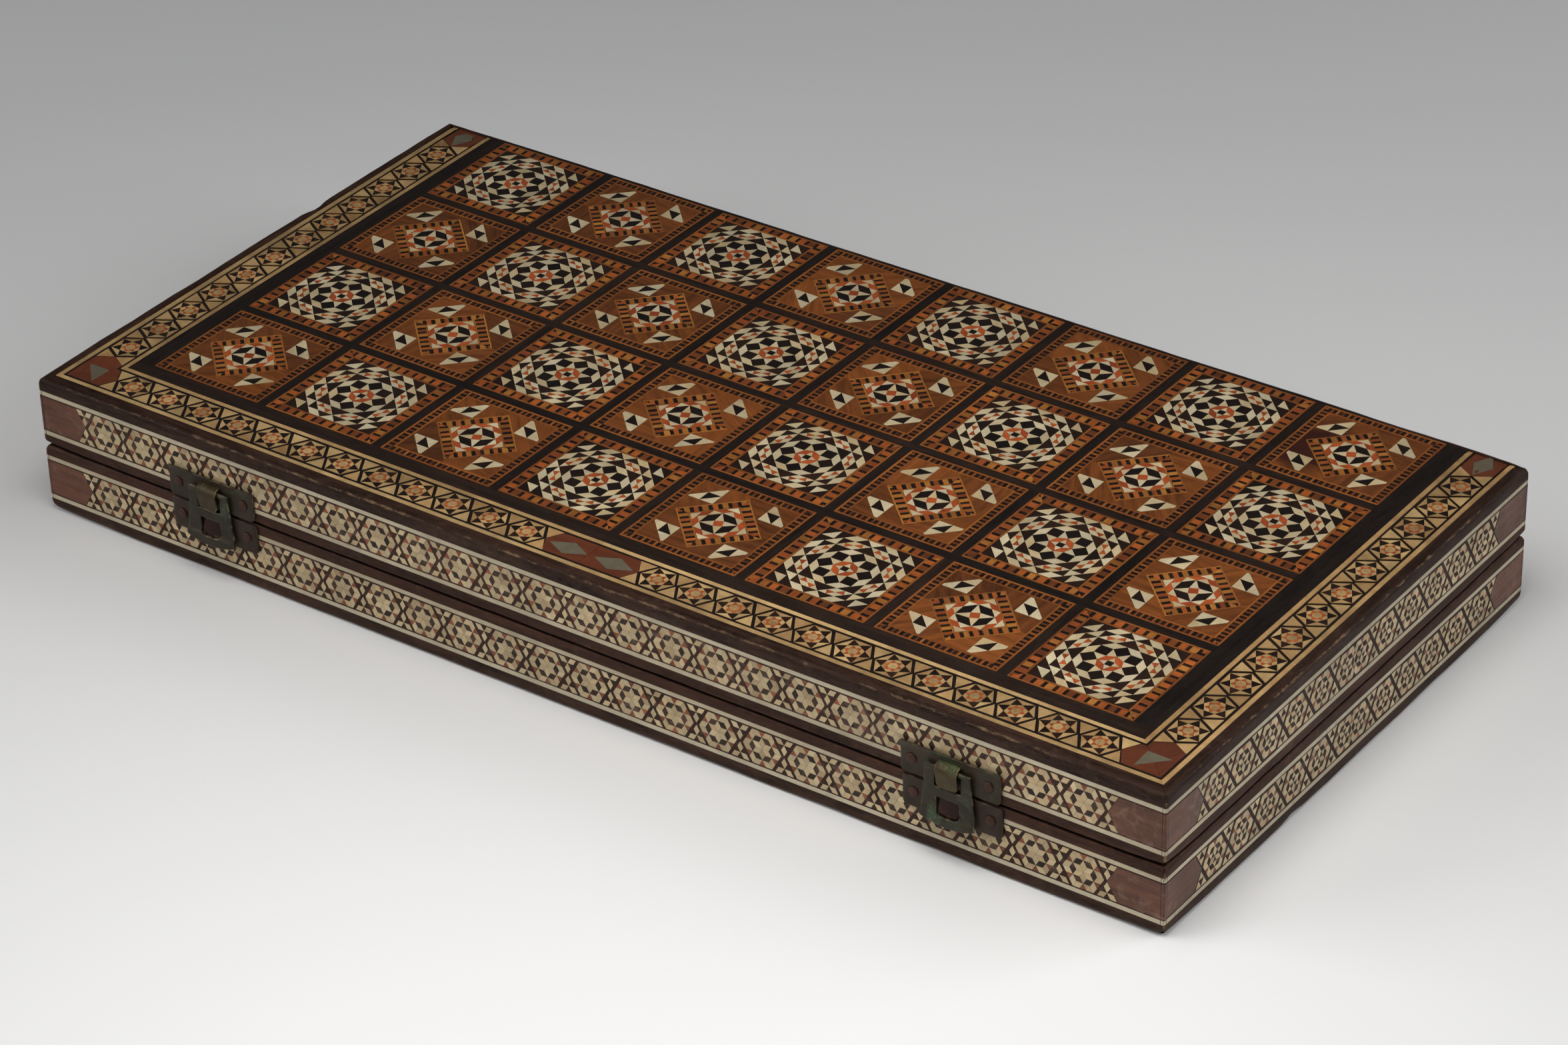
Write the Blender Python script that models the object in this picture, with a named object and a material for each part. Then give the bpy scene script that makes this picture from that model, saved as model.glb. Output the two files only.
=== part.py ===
"""Folding chess and backgammon box with marquetry faces, closed, resting on its lower half.

Two shallow halves are hinged along the back and held shut by two swinging hasps at the front.
X runs along the hinges, -Y is the front with the latches, +Z is up.
The origin is the middle of the underside. All lengths are in metres.
"""

import math

import bmesh
import bpy
from mathutils import Vector

# Whole box
LENGTH = 0.500
DEPTH = 0.250
HEIGHT = 0.058
HALF_HEIGHT = 0.0286
GAP = 0.0003  # air left between pieces that touch or are glued
MITRE_GAP = GAP / math.sqrt(2)  # the same air, measured along a mitred bar

# Carcass of each half, with levels counted from the half's outer face
PANEL_THICKNESS = 0.0052
PANEL_ARRIS = 0.0016
ARRIS_STEPS = 3
RAIL_THICKNESS = 0.012
RAIL_START = PANEL_THICKNESS + GAP
LINING_THICKNESS = 0.0017

# Marquetry veneers
VENEER_THICKNESS = 0.0017
POCKET_DEPTH = VENEER_THICKNESS + GAP
BORDER_START = 0.0061  # width of the panel's dark edge strip
FIELD_START = 0.0254  # where the borders end and the chess field begins
BACK_STRIP = 0.0025  # dark strip along the hinged edge
BANDING_THICKNESS = 0.0015
BANDING_END = 0.0244

# Hinges
HINGE_X = 0.150
PIVOT_Y = DEPTH / 2 + 0.0005
PIVOT_Z = HEIGHT / 2
LEAF_LENGTH = 0.038
LEAF_THICKNESS = 0.0012
LEAF_FRONT_Y = 0.1152
KNUCKLES = 5
BARREL_RADIUS = 0.0030
BORE_RADIUS = 0.0016
PIN_RADIUS = 0.00125
PIN_HEAD_RADIUS = 0.0022
PIN_HEAD = 0.0008
RELIEF_RADIUS = BARREL_RADIUS + 0.0005
RELIEF_END = 0.0016  # room past each end of the barrel for the pin's heads
SCREW_OFFSET = 0.011
SCREW_Y = 0.1186
SCREW_HEAD_RADIUS = 0.0024
SCREW_SHANK_RADIUS = 0.0011
SCREW_LENGTH = 0.008
SCREW_SLOT = 0.0006

# Latches
LATCH_X = 0.165
PLATE_LENGTH = 0.041
PLATE_HEIGHT = 0.0125
PLATE_CORNER = 0.0016
METAL = 0.0009
PLATE_FACE = DEPTH / 2 + GAP + METAL  # how far the plates' front faces stand from the middle
LID_PLATE_Z = 0.0297
KEEPER_PLATE_Z = 0.0160
RIVET_OFFSET = 0.0157
RIVET_RADIUS = 0.0021
RIVET_DOME = 0.0010
RIVET_SHANK_RADIUS = 0.0010
RIVET_DEPTH = 0.0050
HASP_Y = -0.1274
HASP_Z = 0.0370
CROSSBAR_RADIUS = 0.0009
HASP_TOP_HALF = 0.0094
HASP_BOTTOM_HALF = 0.0115
HASP_SHOULDER_Z = 0.0166
HASP_BOTTOM_Z = 0.0143
FLARE_TOP_Z = 0.0200
FLARE_LOW_Z = 0.0174
FLARE = 0.00125
TONGUE_SLOT = (0.0054, 0.0292, 0.0361)  # half width, bottom and top
WINDOW = (0.00485, 0.0174, 0.0257)
BOSS = (0.0044, 0.0179, 0.0253)
BOSS_PROUD = 0.0017
TONGUE_HALF = 0.00465
TONGUE_TIP_Z = 0.0300

ROUND_STEPS = 24
SMALL_STEPS = 16

# Each side: half its run, distance of its outer face from the middle, and its turn about Z
SIDES = {
    "front": (LENGTH / 2, DEPTH / 2, 0),
    "right": (DEPTH / 2, LENGTH / 2, 90),
    "back": (LENGTH / 2, DEPTH / 2, 180),
    "left": (DEPTH / 2, LENGTH / 2, 270),
}
HALVES = ("lower", "upper")
ENDS = {"left": -1, "right": 1}


def clear_scene():
    for obj in list(bpy.data.objects):
        bpy.data.objects.remove(obj)


def level(half, height):
    """A height counted from a half's outer face, as a height above the underside of the box."""
    return height if half == "lower" else HEIGHT - height


def new_object(name, bm):
    bmesh.ops.recalc_face_normals(bm, faces=bm.faces)
    mesh = bpy.data.meshes.new(name)
    bm.to_mesh(mesh)
    bm.free()
    obj = bpy.data.objects.new(name, mesh)
    bpy.context.scene.collection.objects.link(obj)
    return obj


def rectangle(low_a, high_a, low_b, high_b):
    return [(low_a, low_b), (high_a, low_b), (high_a, high_b), (low_a, high_b)]


def arc(centre, radius, start, end, steps):
    """Points on an arc, with its angles in degrees."""
    points = []
    for step in range(steps + 1):
        angle = math.radians(start + (end - start) * step / steps)
        points.append((centre[0] + radius * math.cos(angle), centre[1] + radius * math.sin(angle)))
    return points


def rounded_rectangle(low_a, high_a, low_b, high_b, radius, steps=4):
    points = []
    points += arc((high_a - radius, high_b - radius), radius, 0, 90, steps)
    points += arc((low_a + radius, high_b - radius), radius, 90, 180, steps)
    points += arc((low_a + radius, low_b + radius), radius, 180, 270, steps)
    points += arc((high_a - radius, low_b + radius), radius, 270, 360, steps)
    return points


def prism(name, outline, low, high, normal="Z"):
    """A solid with a flat outline, between two levels along an axis."""
    place = {
        "X": lambda a, b, along: (along, a, b),
        "Y": lambda a, b, along: (a, along, b),
        "Z": lambda a, b, along: (a, b, along),
    }[normal]
    bm = bmesh.new()
    rings = []
    for along in (low, high):
        rings.append([bm.verts.new(place(a, b, along)) for a, b in outline])
        bm.faces.new(rings[-1])
    count = len(outline)
    for i in range(count):
        j = (i + 1) % count
        bm.faces.new((rings[0][i], rings[0][j], rings[1][j], rings[1][i]))
    return new_object(name, bm)


def turned(name, profile, steps):
    """A solid turned about Z from (radius, height) points that start and end on the axis."""
    bm = bmesh.new()
    points = [bm.verts.new((radius, 0, height)) for radius, height in profile]
    edges = [bm.edges.new(pair) for pair in zip(points, points[1:])]
    bmesh.ops.spin(
        bm,
        geom=points + edges,
        cent=(0, 0, 0),
        axis=(0, 0, 1),
        angle=math.tau,
        steps=steps,
        use_merge=True,
    )
    bmesh.ops.remove_doubles(bm, verts=bm.verts, dist=1e-6)
    return new_object(name, bm)


def rod(name, radius, low, high, along="X", centre=(0, 0), steps=ROUND_STEPS):
    """A round bar along an axis, through a point given by the two other coordinates."""
    return prism(name, arc(centre, radius, 0, 360, steps)[:-1], low, high, along)


def combine(target, tool, operation):
    """Joins, cuts or intersects one solid with another, and uses up the second."""
    modifier = target.modifiers.new(operation, "BOOLEAN")
    modifier.operation = operation
    modifier.object = tool
    modifier.solver = "EXACT"
    bpy.context.view_layer.update()
    graph = bpy.context.evaluated_depsgraph_get()
    mesh = bpy.data.meshes.new_from_object(target.evaluated_get(graph))
    target.modifiers.clear()
    target.data = mesh
    bpy.data.objects.remove(tool)


def cut(target, tool):
    combine(target, tool, "DIFFERENCE")


def paint(obj, colour, roughness, metallic=0.0):
    """Gives a sub-part its own material."""
    material = bpy.data.materials.new(obj.name)
    material.use_nodes = True
    surface = material.node_tree.nodes["Principled BSDF"]
    surface.inputs["Base Color"].default_value = (*colour, 1)
    surface.inputs["Roughness"].default_value = roughness
    surface.inputs["Metallic"].default_value = metallic
    obj.data.materials.clear()
    obj.data.materials.append(material)


def smooth(obj, angle=35):
    obj.data.shade_smooth()
    obj.data.set_sharp_from_angle(angle=math.radians(angle))


def dark_wood(obj):
    paint(obj, (0.045, 0.026, 0.020), 0.38)


def marquetry(obj):
    paint(obj, (0.42, 0.30, 0.19), 0.34)


def tray_wood(obj):
    paint(obj, (0.26, 0.12, 0.06), 0.42)


def patinated_brass(obj):
    paint(obj, (0.060, 0.058, 0.040), 0.48, 0.8)


def worn_steel(obj):
    paint(obj, (0.22, 0.20, 0.17), 0.42, 0.9)


def rivet_brass(obj):
    paint(obj, (0.075, 0.045, 0.032), 0.45, 0.8)


def hang_on(obj, pivot):
    """Parents a piece to the empty on its joint's axis, and puts the piece's origin there."""
    bpy.context.view_layer.update()
    placed = obj.matrix_world.copy()
    centre = pivot.matrix_world.translation
    turn = placed.to_3x3().to_4x4()
    obj.data.transform(turn)
    obj.data.transform(placed.Translation(placed.translation - centre))
    obj.rotation_euler = (0, 0, 0)
    obj.location = (0, 0, 0)
    obj.parent = pivot


def new_pivot(name, location, parent=None):
    pivot = bpy.data.objects.new(name, None)
    pivot.empty_display_size = 0.02
    bpy.context.scene.collection.objects.link(pivot)
    pivot.parent = parent
    pivot.location = Vector(location) - (parent.location if parent else Vector())
    return pivot


def mitred_bar(name, side, profile):
    """A bar along one side with its ends mitred, from a profile of (depth, height) points."""
    run, offset, turn = SIDES[side]
    bm = bmesh.new()
    ends = []
    for sign in (-1, 1):
        ring = []
        for depth, height in profile:
            reach = sign * (run - depth - MITRE_GAP)
            ring.append(bm.verts.new((reach, depth - offset, height)))
        ends.append(ring)
        bm.faces.new(ring)
    count = len(profile)
    for i in range(count):
        j = (i + 1) % count
        bm.faces.new((ends[0][i], ends[0][j], ends[1][j], ends[1][i]))
    obj = new_object(name, bm)
    obj.rotation_euler.z = math.radians(turn)
    return obj


def bevel_outer_arris(obj, half):
    """Rounds the edges around a panel's outer face and down its corners."""
    bm = bmesh.new()
    bm.from_mesh(obj.data)
    outer = level(half, 0)
    edges = []
    for edge in bm.edges:
        heights = [abs(vert.co.z - outer) for vert in edge.verts]
        if max(heights) < GAP or abs(heights[0] - heights[1]) > GAP:
            edges.append(edge)
    bmesh.ops.bevel(
        bm,
        geom=edges,
        offset=PANEL_ARRIS,
        segments=ARRIS_STEPS,
        profile=0.5,
        affect="EDGES",
    )
    bm.to_mesh(obj.data)
    bm.free()


def make_panel(half):
    outline = rectangle(-LENGTH / 2, LENGTH / 2, -DEPTH / 2, DEPTH / 2)
    panel = prism(f"{half}_panel", outline, level(half, 0), level(half, PANEL_THICKNESS))
    bevel_outer_arris(panel, half)
    reach_x = LENGTH / 2 - BORDER_START + GAP / 2
    front_y = -DEPTH / 2 + BORDER_START - GAP / 2
    back_y = DEPTH / 2 - BACK_STRIP + GAP / 2
    pocket = rectangle(-reach_x, reach_x, front_y, back_y)
    past_face = -PANEL_THICKNESS
    tool = prism("pocket", pocket, level(half, past_face), level(half, POCKET_DEPTH))
    cut(panel, tool)
    dark_wood(panel)
    return panel


def make_rail(half, side):
    """A carcass rail, rebated along its outer face for the banding."""
    rebate = BANDING_THICKNESS + GAP
    rebate_end = BANDING_END + GAP
    profile = [
        (RAIL_THICKNESS, level(half, RAIL_START)),
        (RAIL_THICKNESS, level(half, HALF_HEIGHT)),
        (0, level(half, HALF_HEIGHT)),
        (0, level(half, rebate_end)),
        (rebate, level(half, rebate_end)),
        (rebate, level(half, RAIL_START)),
    ]
    rail = mitred_bar(f"{half}_{side}_rail", side, profile)
    if side == "back":
        cut_hinge_seats(rail, half)
    if side == "front":
        cut_rivet_holes(rail, half)
    dark_wood(rail)
    return rail


def make_banding(half, side):
    """The strip of side marquetry that fills a rail's rebate."""
    profile = rectangle(0, BANDING_THICKNESS, level(half, RAIL_START), level(half, BANDING_END))
    banding = mitred_bar(f"{half}_{side}_banding", side, profile)
    if side == "front":
        cut_rivet_holes(banding, half)
    marquetry(banding)
    return banding


def make_border(half, side):
    """A border strip on the outer face, mitred where it meets the next one."""
    outer = BORDER_START + GAP / 2
    inner = FIELD_START - GAP / 2
    if side == "front":
        front_y = -DEPTH / 2
        half_length = LENGTH / 2 - MITRE_GAP
        outline = [
            (outer - half_length, front_y + outer),
            (half_length - outer, front_y + outer),
            (half_length - inner, front_y + inner),
            (inner - half_length, front_y + inner),
        ]
    else:
        sign = ENDS[side]
        back_y = DEPTH / 2 - BACK_STRIP - GAP / 2
        mitre_y = -DEPTH / 2 + MITRE_GAP
        outline = [
            (sign * (LENGTH / 2 - outer), mitre_y + outer),
            (sign * (LENGTH / 2 - outer), back_y),
            (sign * (LENGTH / 2 - inner), back_y),
            (sign * (LENGTH / 2 - inner), mitre_y + inner),
        ]
    name = f"{half}_{side}_border"
    border = prism(name, outline, level(half, 0), level(half, VENEER_THICKNESS))
    marquetry(border)
    return border


def make_field(half):
    """The sheet of sixteen light and sixteen dark squares with the strips between them."""
    reach_x = LENGTH / 2 - FIELD_START - GAP / 2
    front_y = -DEPTH / 2 + FIELD_START + GAP / 2
    back_y = DEPTH / 2 - BACK_STRIP - GAP / 2
    outline = rectangle(-reach_x, reach_x, front_y, back_y)
    name = f"{half}_chess_field"
    field = prism(name, outline, level(half, 0), level(half, VENEER_THICKNESS))
    marquetry(field)
    return field


def make_lining(half):
    """The backgammon surface on the floor of a tray."""
    reach_x = LENGTH / 2 - RAIL_THICKNESS - GAP
    reach_y = DEPTH / 2 - RAIL_THICKNESS - GAP
    outline = rectangle(-reach_x, reach_x, -reach_y, reach_y)
    low = level(half, RAIL_START)
    high = level(half, RAIL_START + LINING_THICKNESS)
    lining = prism(f"{half}_tray_lining", outline, low, high)
    tray_wood(lining)
    return lining


def cut_hinge_seats(rail, half):
    """Room in a back rail for the barrels, the leaves and their screws."""
    # The rail is turned half round, so its own X and Y run the other way.
    rim = level(half, HALF_HEIGHT)
    seat = level(half, HALF_HEIGHT - LEAF_THICKNESS - GAP)
    for sign in ENDS.values():
        centre_x = -sign * HINGE_X
        half_leaf = LEAF_LENGTH / 2 + GAP
        outline = rectangle(
            centre_x - half_leaf, centre_x + half_leaf, -DEPTH, GAP - LEAF_FRONT_Y
        )
        past_rim = 2 * rim - seat
        cut(rail, in_rail_frame(rail, prism("leaf_seat", outline, seat, past_rim)))
        reach = LEAF_LENGTH / 2 + RELIEF_END
        relief = rod(
            "relief",
            RELIEF_RADIUS,
            centre_x - reach,
            centre_x + reach,
            centre=(-PIVOT_Y, PIVOT_Z),
            steps=ROUND_STEPS,
        )
        cut(rail, in_rail_frame(rail, relief))
        for side in (-1, 1):
            hole = rod(
                "screw_hole",
                SCREW_SHANK_RADIUS + GAP,
                level(half, HALF_HEIGHT - SCREW_LENGTH - 2 * GAP),
                past_rim,
                along="Z",
                centre=(centre_x + side * SCREW_OFFSET, -SCREW_Y),
                steps=SMALL_STEPS,
            )
            cut(rail, in_rail_frame(rail, hole))


def in_rail_frame(rail, tool):
    tool.rotation_euler = rail.rotation_euler
    return tool


def rivet_height(half):
    bottom = KEEPER_PLATE_Z if half == "lower" else LID_PLATE_Z
    return bottom + PLATE_HEIGHT / 2


def cut_rivet_holes(obj, half):
    for sign in ENDS.values():
        for side in (-1, 1):
            centre = (sign * LATCH_X + side * RIVET_OFFSET, rivet_height(half))
            hole = rod(
                "rivet_hole",
                RIVET_SHANK_RADIUS + GAP,
                -DEPTH,
                -DEPTH / 2 + RIVET_DEPTH + GAP,
                along="Y",
                centre=centre,
                steps=SMALL_STEPS,
            )
            cut(obj, hole)


def make_half(half):
    pieces = [make_panel(half), make_field(half), make_lining(half)]
    for side in SIDES:
        pieces.append(make_rail(half, side))
        pieces.append(make_banding(half, side))
        if side != "back":
            pieces.append(make_border(half, side))
    return pieces


def countersink(half, x):
    """The hole for a screw through a leaf, with its conical seat."""
    face = HALF_HEIGHT + GAP
    back = HALF_HEIGHT - LEAF_THICKNESS - GAP
    head = SCREW_HEAD_RADIUS + GAP
    shank = SCREW_SHANK_RADIUS + GAP
    profile = [
        (0, back),
        (shank, back),
        (shank, back + GAP),
        (head, HALF_HEIGHT),
        (head, face),
        (0, face),
    ]
    hole = turned("countersink", [(r, level(half, z)) for r, z in profile], SMALL_STEPS)
    hole.location = (x, SCREW_Y, 0)
    return hole


def make_leaf(half, end):
    """A hinge leaf: a plate let into the rim, with its knuckles and countersunk holes."""
    centre_x = ENDS[end] * HINGE_X
    start_x = centre_x - LEAF_LENGTH / 2
    pitch = LEAF_LENGTH / KNUCKLES
    first = 0 if half == "lower" else 1
    own = range(first, KNUCKLES, 2)
    tongue_y = PIVOT_Y - BARREL_RADIUS / 3
    notch_y = PIVOT_Y - BARREL_RADIUS - GAP
    outline = [(start_x, LEAF_FRONT_Y), (start_x + LEAF_LENGTH, LEAF_FRONT_Y)]
    comb = []
    for i in range(KNUCKLES):
        low = start_x + i * pitch
        high = low + pitch
        clear = GAP / 2 if i in own else -GAP / 2
        reach_y = tongue_y if i in own else notch_y
        comb.append((low if i == 0 else low + clear, reach_y))
        comb.append((high if i == KNUCKLES - 1 else high - clear, reach_y))
    outline += comb[::-1]
    rim = level(half, HALF_HEIGHT)
    back = level(half, HALF_HEIGHT - LEAF_THICKNESS)
    leaf = prism(f"{end}_hinge_{half}_leaf", outline, back, rim)
    for i in own:
        low = start_x + i * pitch + (GAP / 2 if i > 0 else 0)
        high = start_x + (i + 1) * pitch - (GAP / 2 if i < KNUCKLES - 1 else 0)
        knuckle = rod("knuckle", BARREL_RADIUS, low, high, centre=(PIVOT_Y, PIVOT_Z))
        combine(leaf, knuckle, "UNION")
    reach = LEAF_LENGTH
    bore = rod(
        "bore",
        BORE_RADIUS,
        centre_x - reach,
        centre_x + reach,
        centre=(PIVOT_Y, PIVOT_Z),
        steps=SMALL_STEPS,
    )
    cut(leaf, bore)
    for side in (-1, 1):
        cut(leaf, countersink(half, centre_x + side * SCREW_OFFSET))
    smooth(leaf)
    worn_steel(leaf)
    return leaf


def make_hinge_pin(end):
    """A plain pin with a flattened head at each end."""
    barrel = LEAF_LENGTH / 2 + GAP
    tip = barrel + PIN_HEAD
    chamfer = PIN_HEAD / 2
    side = [
        (PIN_RADIUS, barrel),
        (PIN_HEAD_RADIUS, barrel),
        (PIN_HEAD_RADIUS, tip - chamfer),
        (PIN_HEAD_RADIUS - chamfer, tip),
        (0, tip),
    ]
    profile = [(radius, -height) for radius, height in reversed(side)] + side
    pin = turned(f"{end}_hinge_pin", profile, SMALL_STEPS)
    pin.rotation_euler.y = math.radians(90)
    pin.location = (ENDS[end] * HINGE_X, PIVOT_Y, PIVOT_Z)
    smooth(pin)
    worn_steel(pin)
    return pin


def make_screw(half, end, number):
    """A slotted countersunk wood screw, with its head at the origin pointing up."""
    cone = LEAF_THICKNESS
    profile = [
        (0, 0),
        (SCREW_HEAD_RADIUS, 0),
        (SCREW_SHANK_RADIUS, -cone),
        (SCREW_SHANK_RADIUS, -0.75 * SCREW_LENGTH),
        (0, -SCREW_LENGTH),
    ]
    screw = turned(f"{end}_hinge_{half}_screw_{number}", profile, SMALL_STEPS)
    half_slot = SCREW_SLOT / 2
    reach = SCREW_HEAD_RADIUS + GAP
    slot = rectangle(-reach, reach, -half_slot, half_slot)
    cut(screw, prism("slot", slot, -SCREW_SLOT, SCREW_SLOT))
    side = -1 if number == 1 else 1
    x = ENDS[end] * HINGE_X + side * SCREW_OFFSET
    screw.location = (x, SCREW_Y, level(half, HALF_HEIGHT - GAP / 3))
    screw.rotation_euler.x = 0 if half == "lower" else math.pi
    smooth(screw)
    worn_steel(screw)
    return screw


def plate(name, centre_x, bottom):
    outline = rounded_rectangle(
        centre_x - PLATE_LENGTH / 2,
        centre_x + PLATE_LENGTH / 2,
        bottom,
        bottom + PLATE_HEIGHT,
        PLATE_CORNER,
    )
    return prism(name, outline, -PLATE_FACE, -PLATE_FACE + METAL, normal="Y")


def drill_plate(obj, centre_x, half):
    for side in (-1, 1):
        hole = rod(
            "rivet_hole",
            RIVET_SHANK_RADIUS + GAP,
            -DEPTH,
            0,
            along="Y",
            centre=(centre_x + side * RIVET_OFFSET, rivet_height(half)),
            steps=SMALL_STEPS,
        )
        cut(obj, hole)


def make_latch_plate(end):
    """The lid's plate, whose tongue is bent over the hasp's crossbar to hold it."""
    centre_x = ENDS[end] * LATCH_X
    obj = plate(f"{end}_latch_plate", centre_x, LID_PLATE_Z)
    inner = CROSSBAR_RADIUS + GAP
    outer = inner + METAL
    centre = (HASP_Y, HASP_Z)
    root_y = -PLATE_FACE + METAL / 2
    profile = [(root_y, HASP_Z + outer)]
    profile += arc(centre, outer, 90, 180, 6)
    profile += [(HASP_Y - outer, TONGUE_TIP_Z), (HASP_Y - inner, TONGUE_TIP_Z)]
    profile += arc(centre, inner, 180, 90, 6)
    profile += [(root_y, HASP_Z + inner)]
    low = centre_x - TONGUE_HALF
    high = centre_x + TONGUE_HALF
    combine(obj, prism("tongue", profile, low, high, normal="X"), "UNION")
    drill_plate(obj, centre_x, "upper")
    smooth(obj)
    patinated_brass(obj)
    return obj


def make_keeper(end):
    """The lower half's plate, with the raised boss that the hasp's window drops over."""
    centre_x = ENDS[end] * LATCH_X
    obj = plate(f"{end}_latch_keeper", centre_x, KEEPER_PLATE_Z)
    half_width, low, high = BOSS
    outline = rounded_rectangle(
        centre_x - half_width, centre_x + half_width, low, high, PLATE_CORNER
    )
    front = -PLATE_FACE - BOSS_PROUD
    boss = prism("boss", outline, front, -PLATE_FACE + METAL / 2, normal="Y")
    combine(obj, boss, "UNION")
    drill_plate(obj, centre_x, "lower")
    smooth(obj)
    patinated_brass(obj)
    return obj


def make_hasp(end):
    """The swinging hasp: a bent plate with a slot for the tongue and a window for the boss."""
    centre_x = ENDS[end] * LATCH_X
    half_metal = METAL / 2
    front = HASP_Y - half_metal
    back = HASP_Y + half_metal
    spread = math.degrees(math.asin(half_metal / CROSSBAR_RADIUS))
    side = arc((HASP_Y, HASP_Z), CROSSBAR_RADIUS, spread - 90, 270 - spread, 14)
    side += [
        (front, FLARE_TOP_Z),
        (front - FLARE, FLARE_LOW_Z),
        (front - FLARE, HASP_BOTTOM_Z - GAP),
        (back - FLARE, HASP_BOTTOM_Z - GAP),
        (back - FLARE, FLARE_LOW_Z),
        (back, FLARE_TOP_Z),
    ]
    reach = HASP_BOTTOM_HALF + METAL
    hasp = prism(f"{end}_latch_hasp", side, centre_x - reach, centre_x + reach, normal="X")
    drop = HASP_SHOULDER_Z - HASP_BOTTOM_Z
    radius = (HASP_BOTTOM_HALF**2 + drop**2) / (2 * drop)
    spread = math.degrees(math.asin(HASP_BOTTOM_HALF / radius))
    lip = (centre_x, HASP_BOTTOM_Z + radius)
    outline = arc(lip, radius, 270 - spread, 270 + spread, 12)
    top = HASP_Z + 2 * CROSSBAR_RADIUS
    outline += [(centre_x + HASP_TOP_HALF, top), (centre_x - HASP_TOP_HALF, top)]
    combine(hasp, prism("hasp_outline", outline, -DEPTH, 0, normal="Y"), "INTERSECT")
    for half_width, low, high in (TONGUE_SLOT, WINDOW):
        hole = rectangle(centre_x - half_width, centre_x + half_width, low, high)
        cut(hasp, prism("hole", hole, -DEPTH, 0, normal="Y"))
    smooth(hasp)
    patinated_brass(hasp)
    return hasp


def make_rivet(half, end, number):
    """A domed rivet through a latch plate into the front rail, turned about its own axis."""
    plate_name = "keeper" if half == "lower" else "plate"
    steps = 4
    base = GAP
    dome = []
    for step in range(steps + 1):
        angle = math.radians(90 * step / steps)
        radius = RIVET_RADIUS * math.cos(angle)
        height = base + RIVET_DOME * math.sin(angle)
        dome.append((radius if step < steps else 0, height))
    reach = PLATE_FACE - DEPTH / 2 + RIVET_DEPTH
    shank = [(0, -reach), (RIVET_SHANK_RADIUS, -reach), (RIVET_SHANK_RADIUS, base)]
    rivet = turned(f"{end}_latch_{plate_name}_rivet_{number}", shank + dome, SMALL_STEPS)
    side = -1 if number == 1 else 1
    x = ENDS[end] * LATCH_X + side * RIVET_OFFSET
    rivet.location = (x, -PLATE_FACE, rivet_height(half))
    rivet.rotation_euler.x = math.radians(90)
    smooth(rivet)
    rivet_brass(rivet)
    return rivet


def main():
    clear_scene()
    lid_pivot = new_pivot("lid_pivot", (0, PIVOT_Y, PIVOT_Z))
    make_half("lower")
    lid = make_half("upper")
    for end, sign in ENDS.items():
        make_leaf("lower", end)
        make_hinge_pin(end)
        make_keeper(end)
        lid.append(make_leaf("upper", end))
        lid.append(make_latch_plate(end))
        for number in (1, 2):
            make_screw("lower", end, number)
            make_rivet("lower", end, number)
            lid.append(make_screw("upper", end, number))
            lid.append(make_rivet("upper", end, number))
        hasp_pivot = new_pivot(f"{end}_hasp_pivot", (sign * LATCH_X, HASP_Y, HASP_Z), lid_pivot)
        hang_on(make_hasp(end), hasp_pivot)
    for piece in lid:
        hang_on(piece, lid_pivot)


main()
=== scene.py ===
import math
import random

import bmesh
import bpy
import numpy as np
from mathutils import Matrix, Vector, noise


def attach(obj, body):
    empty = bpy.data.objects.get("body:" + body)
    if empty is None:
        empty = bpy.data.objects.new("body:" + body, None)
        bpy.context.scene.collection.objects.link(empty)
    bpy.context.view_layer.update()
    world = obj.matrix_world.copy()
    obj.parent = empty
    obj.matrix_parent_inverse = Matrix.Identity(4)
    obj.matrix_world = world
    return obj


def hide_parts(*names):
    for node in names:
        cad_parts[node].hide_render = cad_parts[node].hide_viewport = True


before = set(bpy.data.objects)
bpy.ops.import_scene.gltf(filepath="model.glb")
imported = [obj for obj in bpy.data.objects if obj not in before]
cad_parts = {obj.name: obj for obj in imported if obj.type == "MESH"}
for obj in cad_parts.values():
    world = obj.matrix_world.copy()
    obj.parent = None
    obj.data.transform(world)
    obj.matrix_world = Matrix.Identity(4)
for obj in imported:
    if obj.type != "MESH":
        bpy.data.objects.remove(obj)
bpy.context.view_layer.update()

MM = 0.001

# The closed box, in millimetres, as the frame has it
LENGTH = 500.0
DEPTH = 250.0
HEIGHT = 58.0
HALF_HEIGHT = 28.6
# Dark strip along each edge of the outer faces, and where the chess field starts behind it
EDGE_STRIP = {"front": 5.3, "left": 4.6, "right": 4.6, "back": 2.4}
BORDER = 19.2
PANEL = 5.2
RAIL = 12.0
LINING_TOP = 7.2
PITCH = 55.05  # chess squares
TILE = 50.9
GRID_X = -218.9  # the grid's left and front edges
GRID_Y = -93.6
COLUMNS = 8
ROWS = 4
OUTER_LINE = 2.0  # the pale lines beside each top band
INNER_LINE = 1.9
THIN = 1.0  # thin dark lines between them and the band
TOP_BAND = 13.3
SIDE_LINE = 1.8
SIDE_THIN = 0.6
SIDE_BAND = 14.4
LATCH_X = 165.0
HINGE_X = 150.0
BAND_SEAT = 1.4  # how deep the bandings sit in the rails
STRIP_DEPTH = 0.8
BAND_POINT = 4.2  # length of the point on the blocks that close a band

JOINT = 0.07  # glue line between two slips
SLIP_DEPTH = 0.25
PROUD = 0.04  # the most any slip stands above its neighbours, all kept below the CAD faces
HALVES = {"lower": "base", "upper": "lid"}
SIDES = ("front", "right", "back", "left")
ENDS = {"left": -1, "right": 1}
SQUARE = [(-1, -1), (1, -1), (1, 1), (-1, 1)]
CORNER_STEPS = (0.0, 0.15, 0.35, 0.6, 0.9, 1.3, 1.8, 2.6)  # stations by a rounded corner


# ---------------------------------------------------------------- materials


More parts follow.
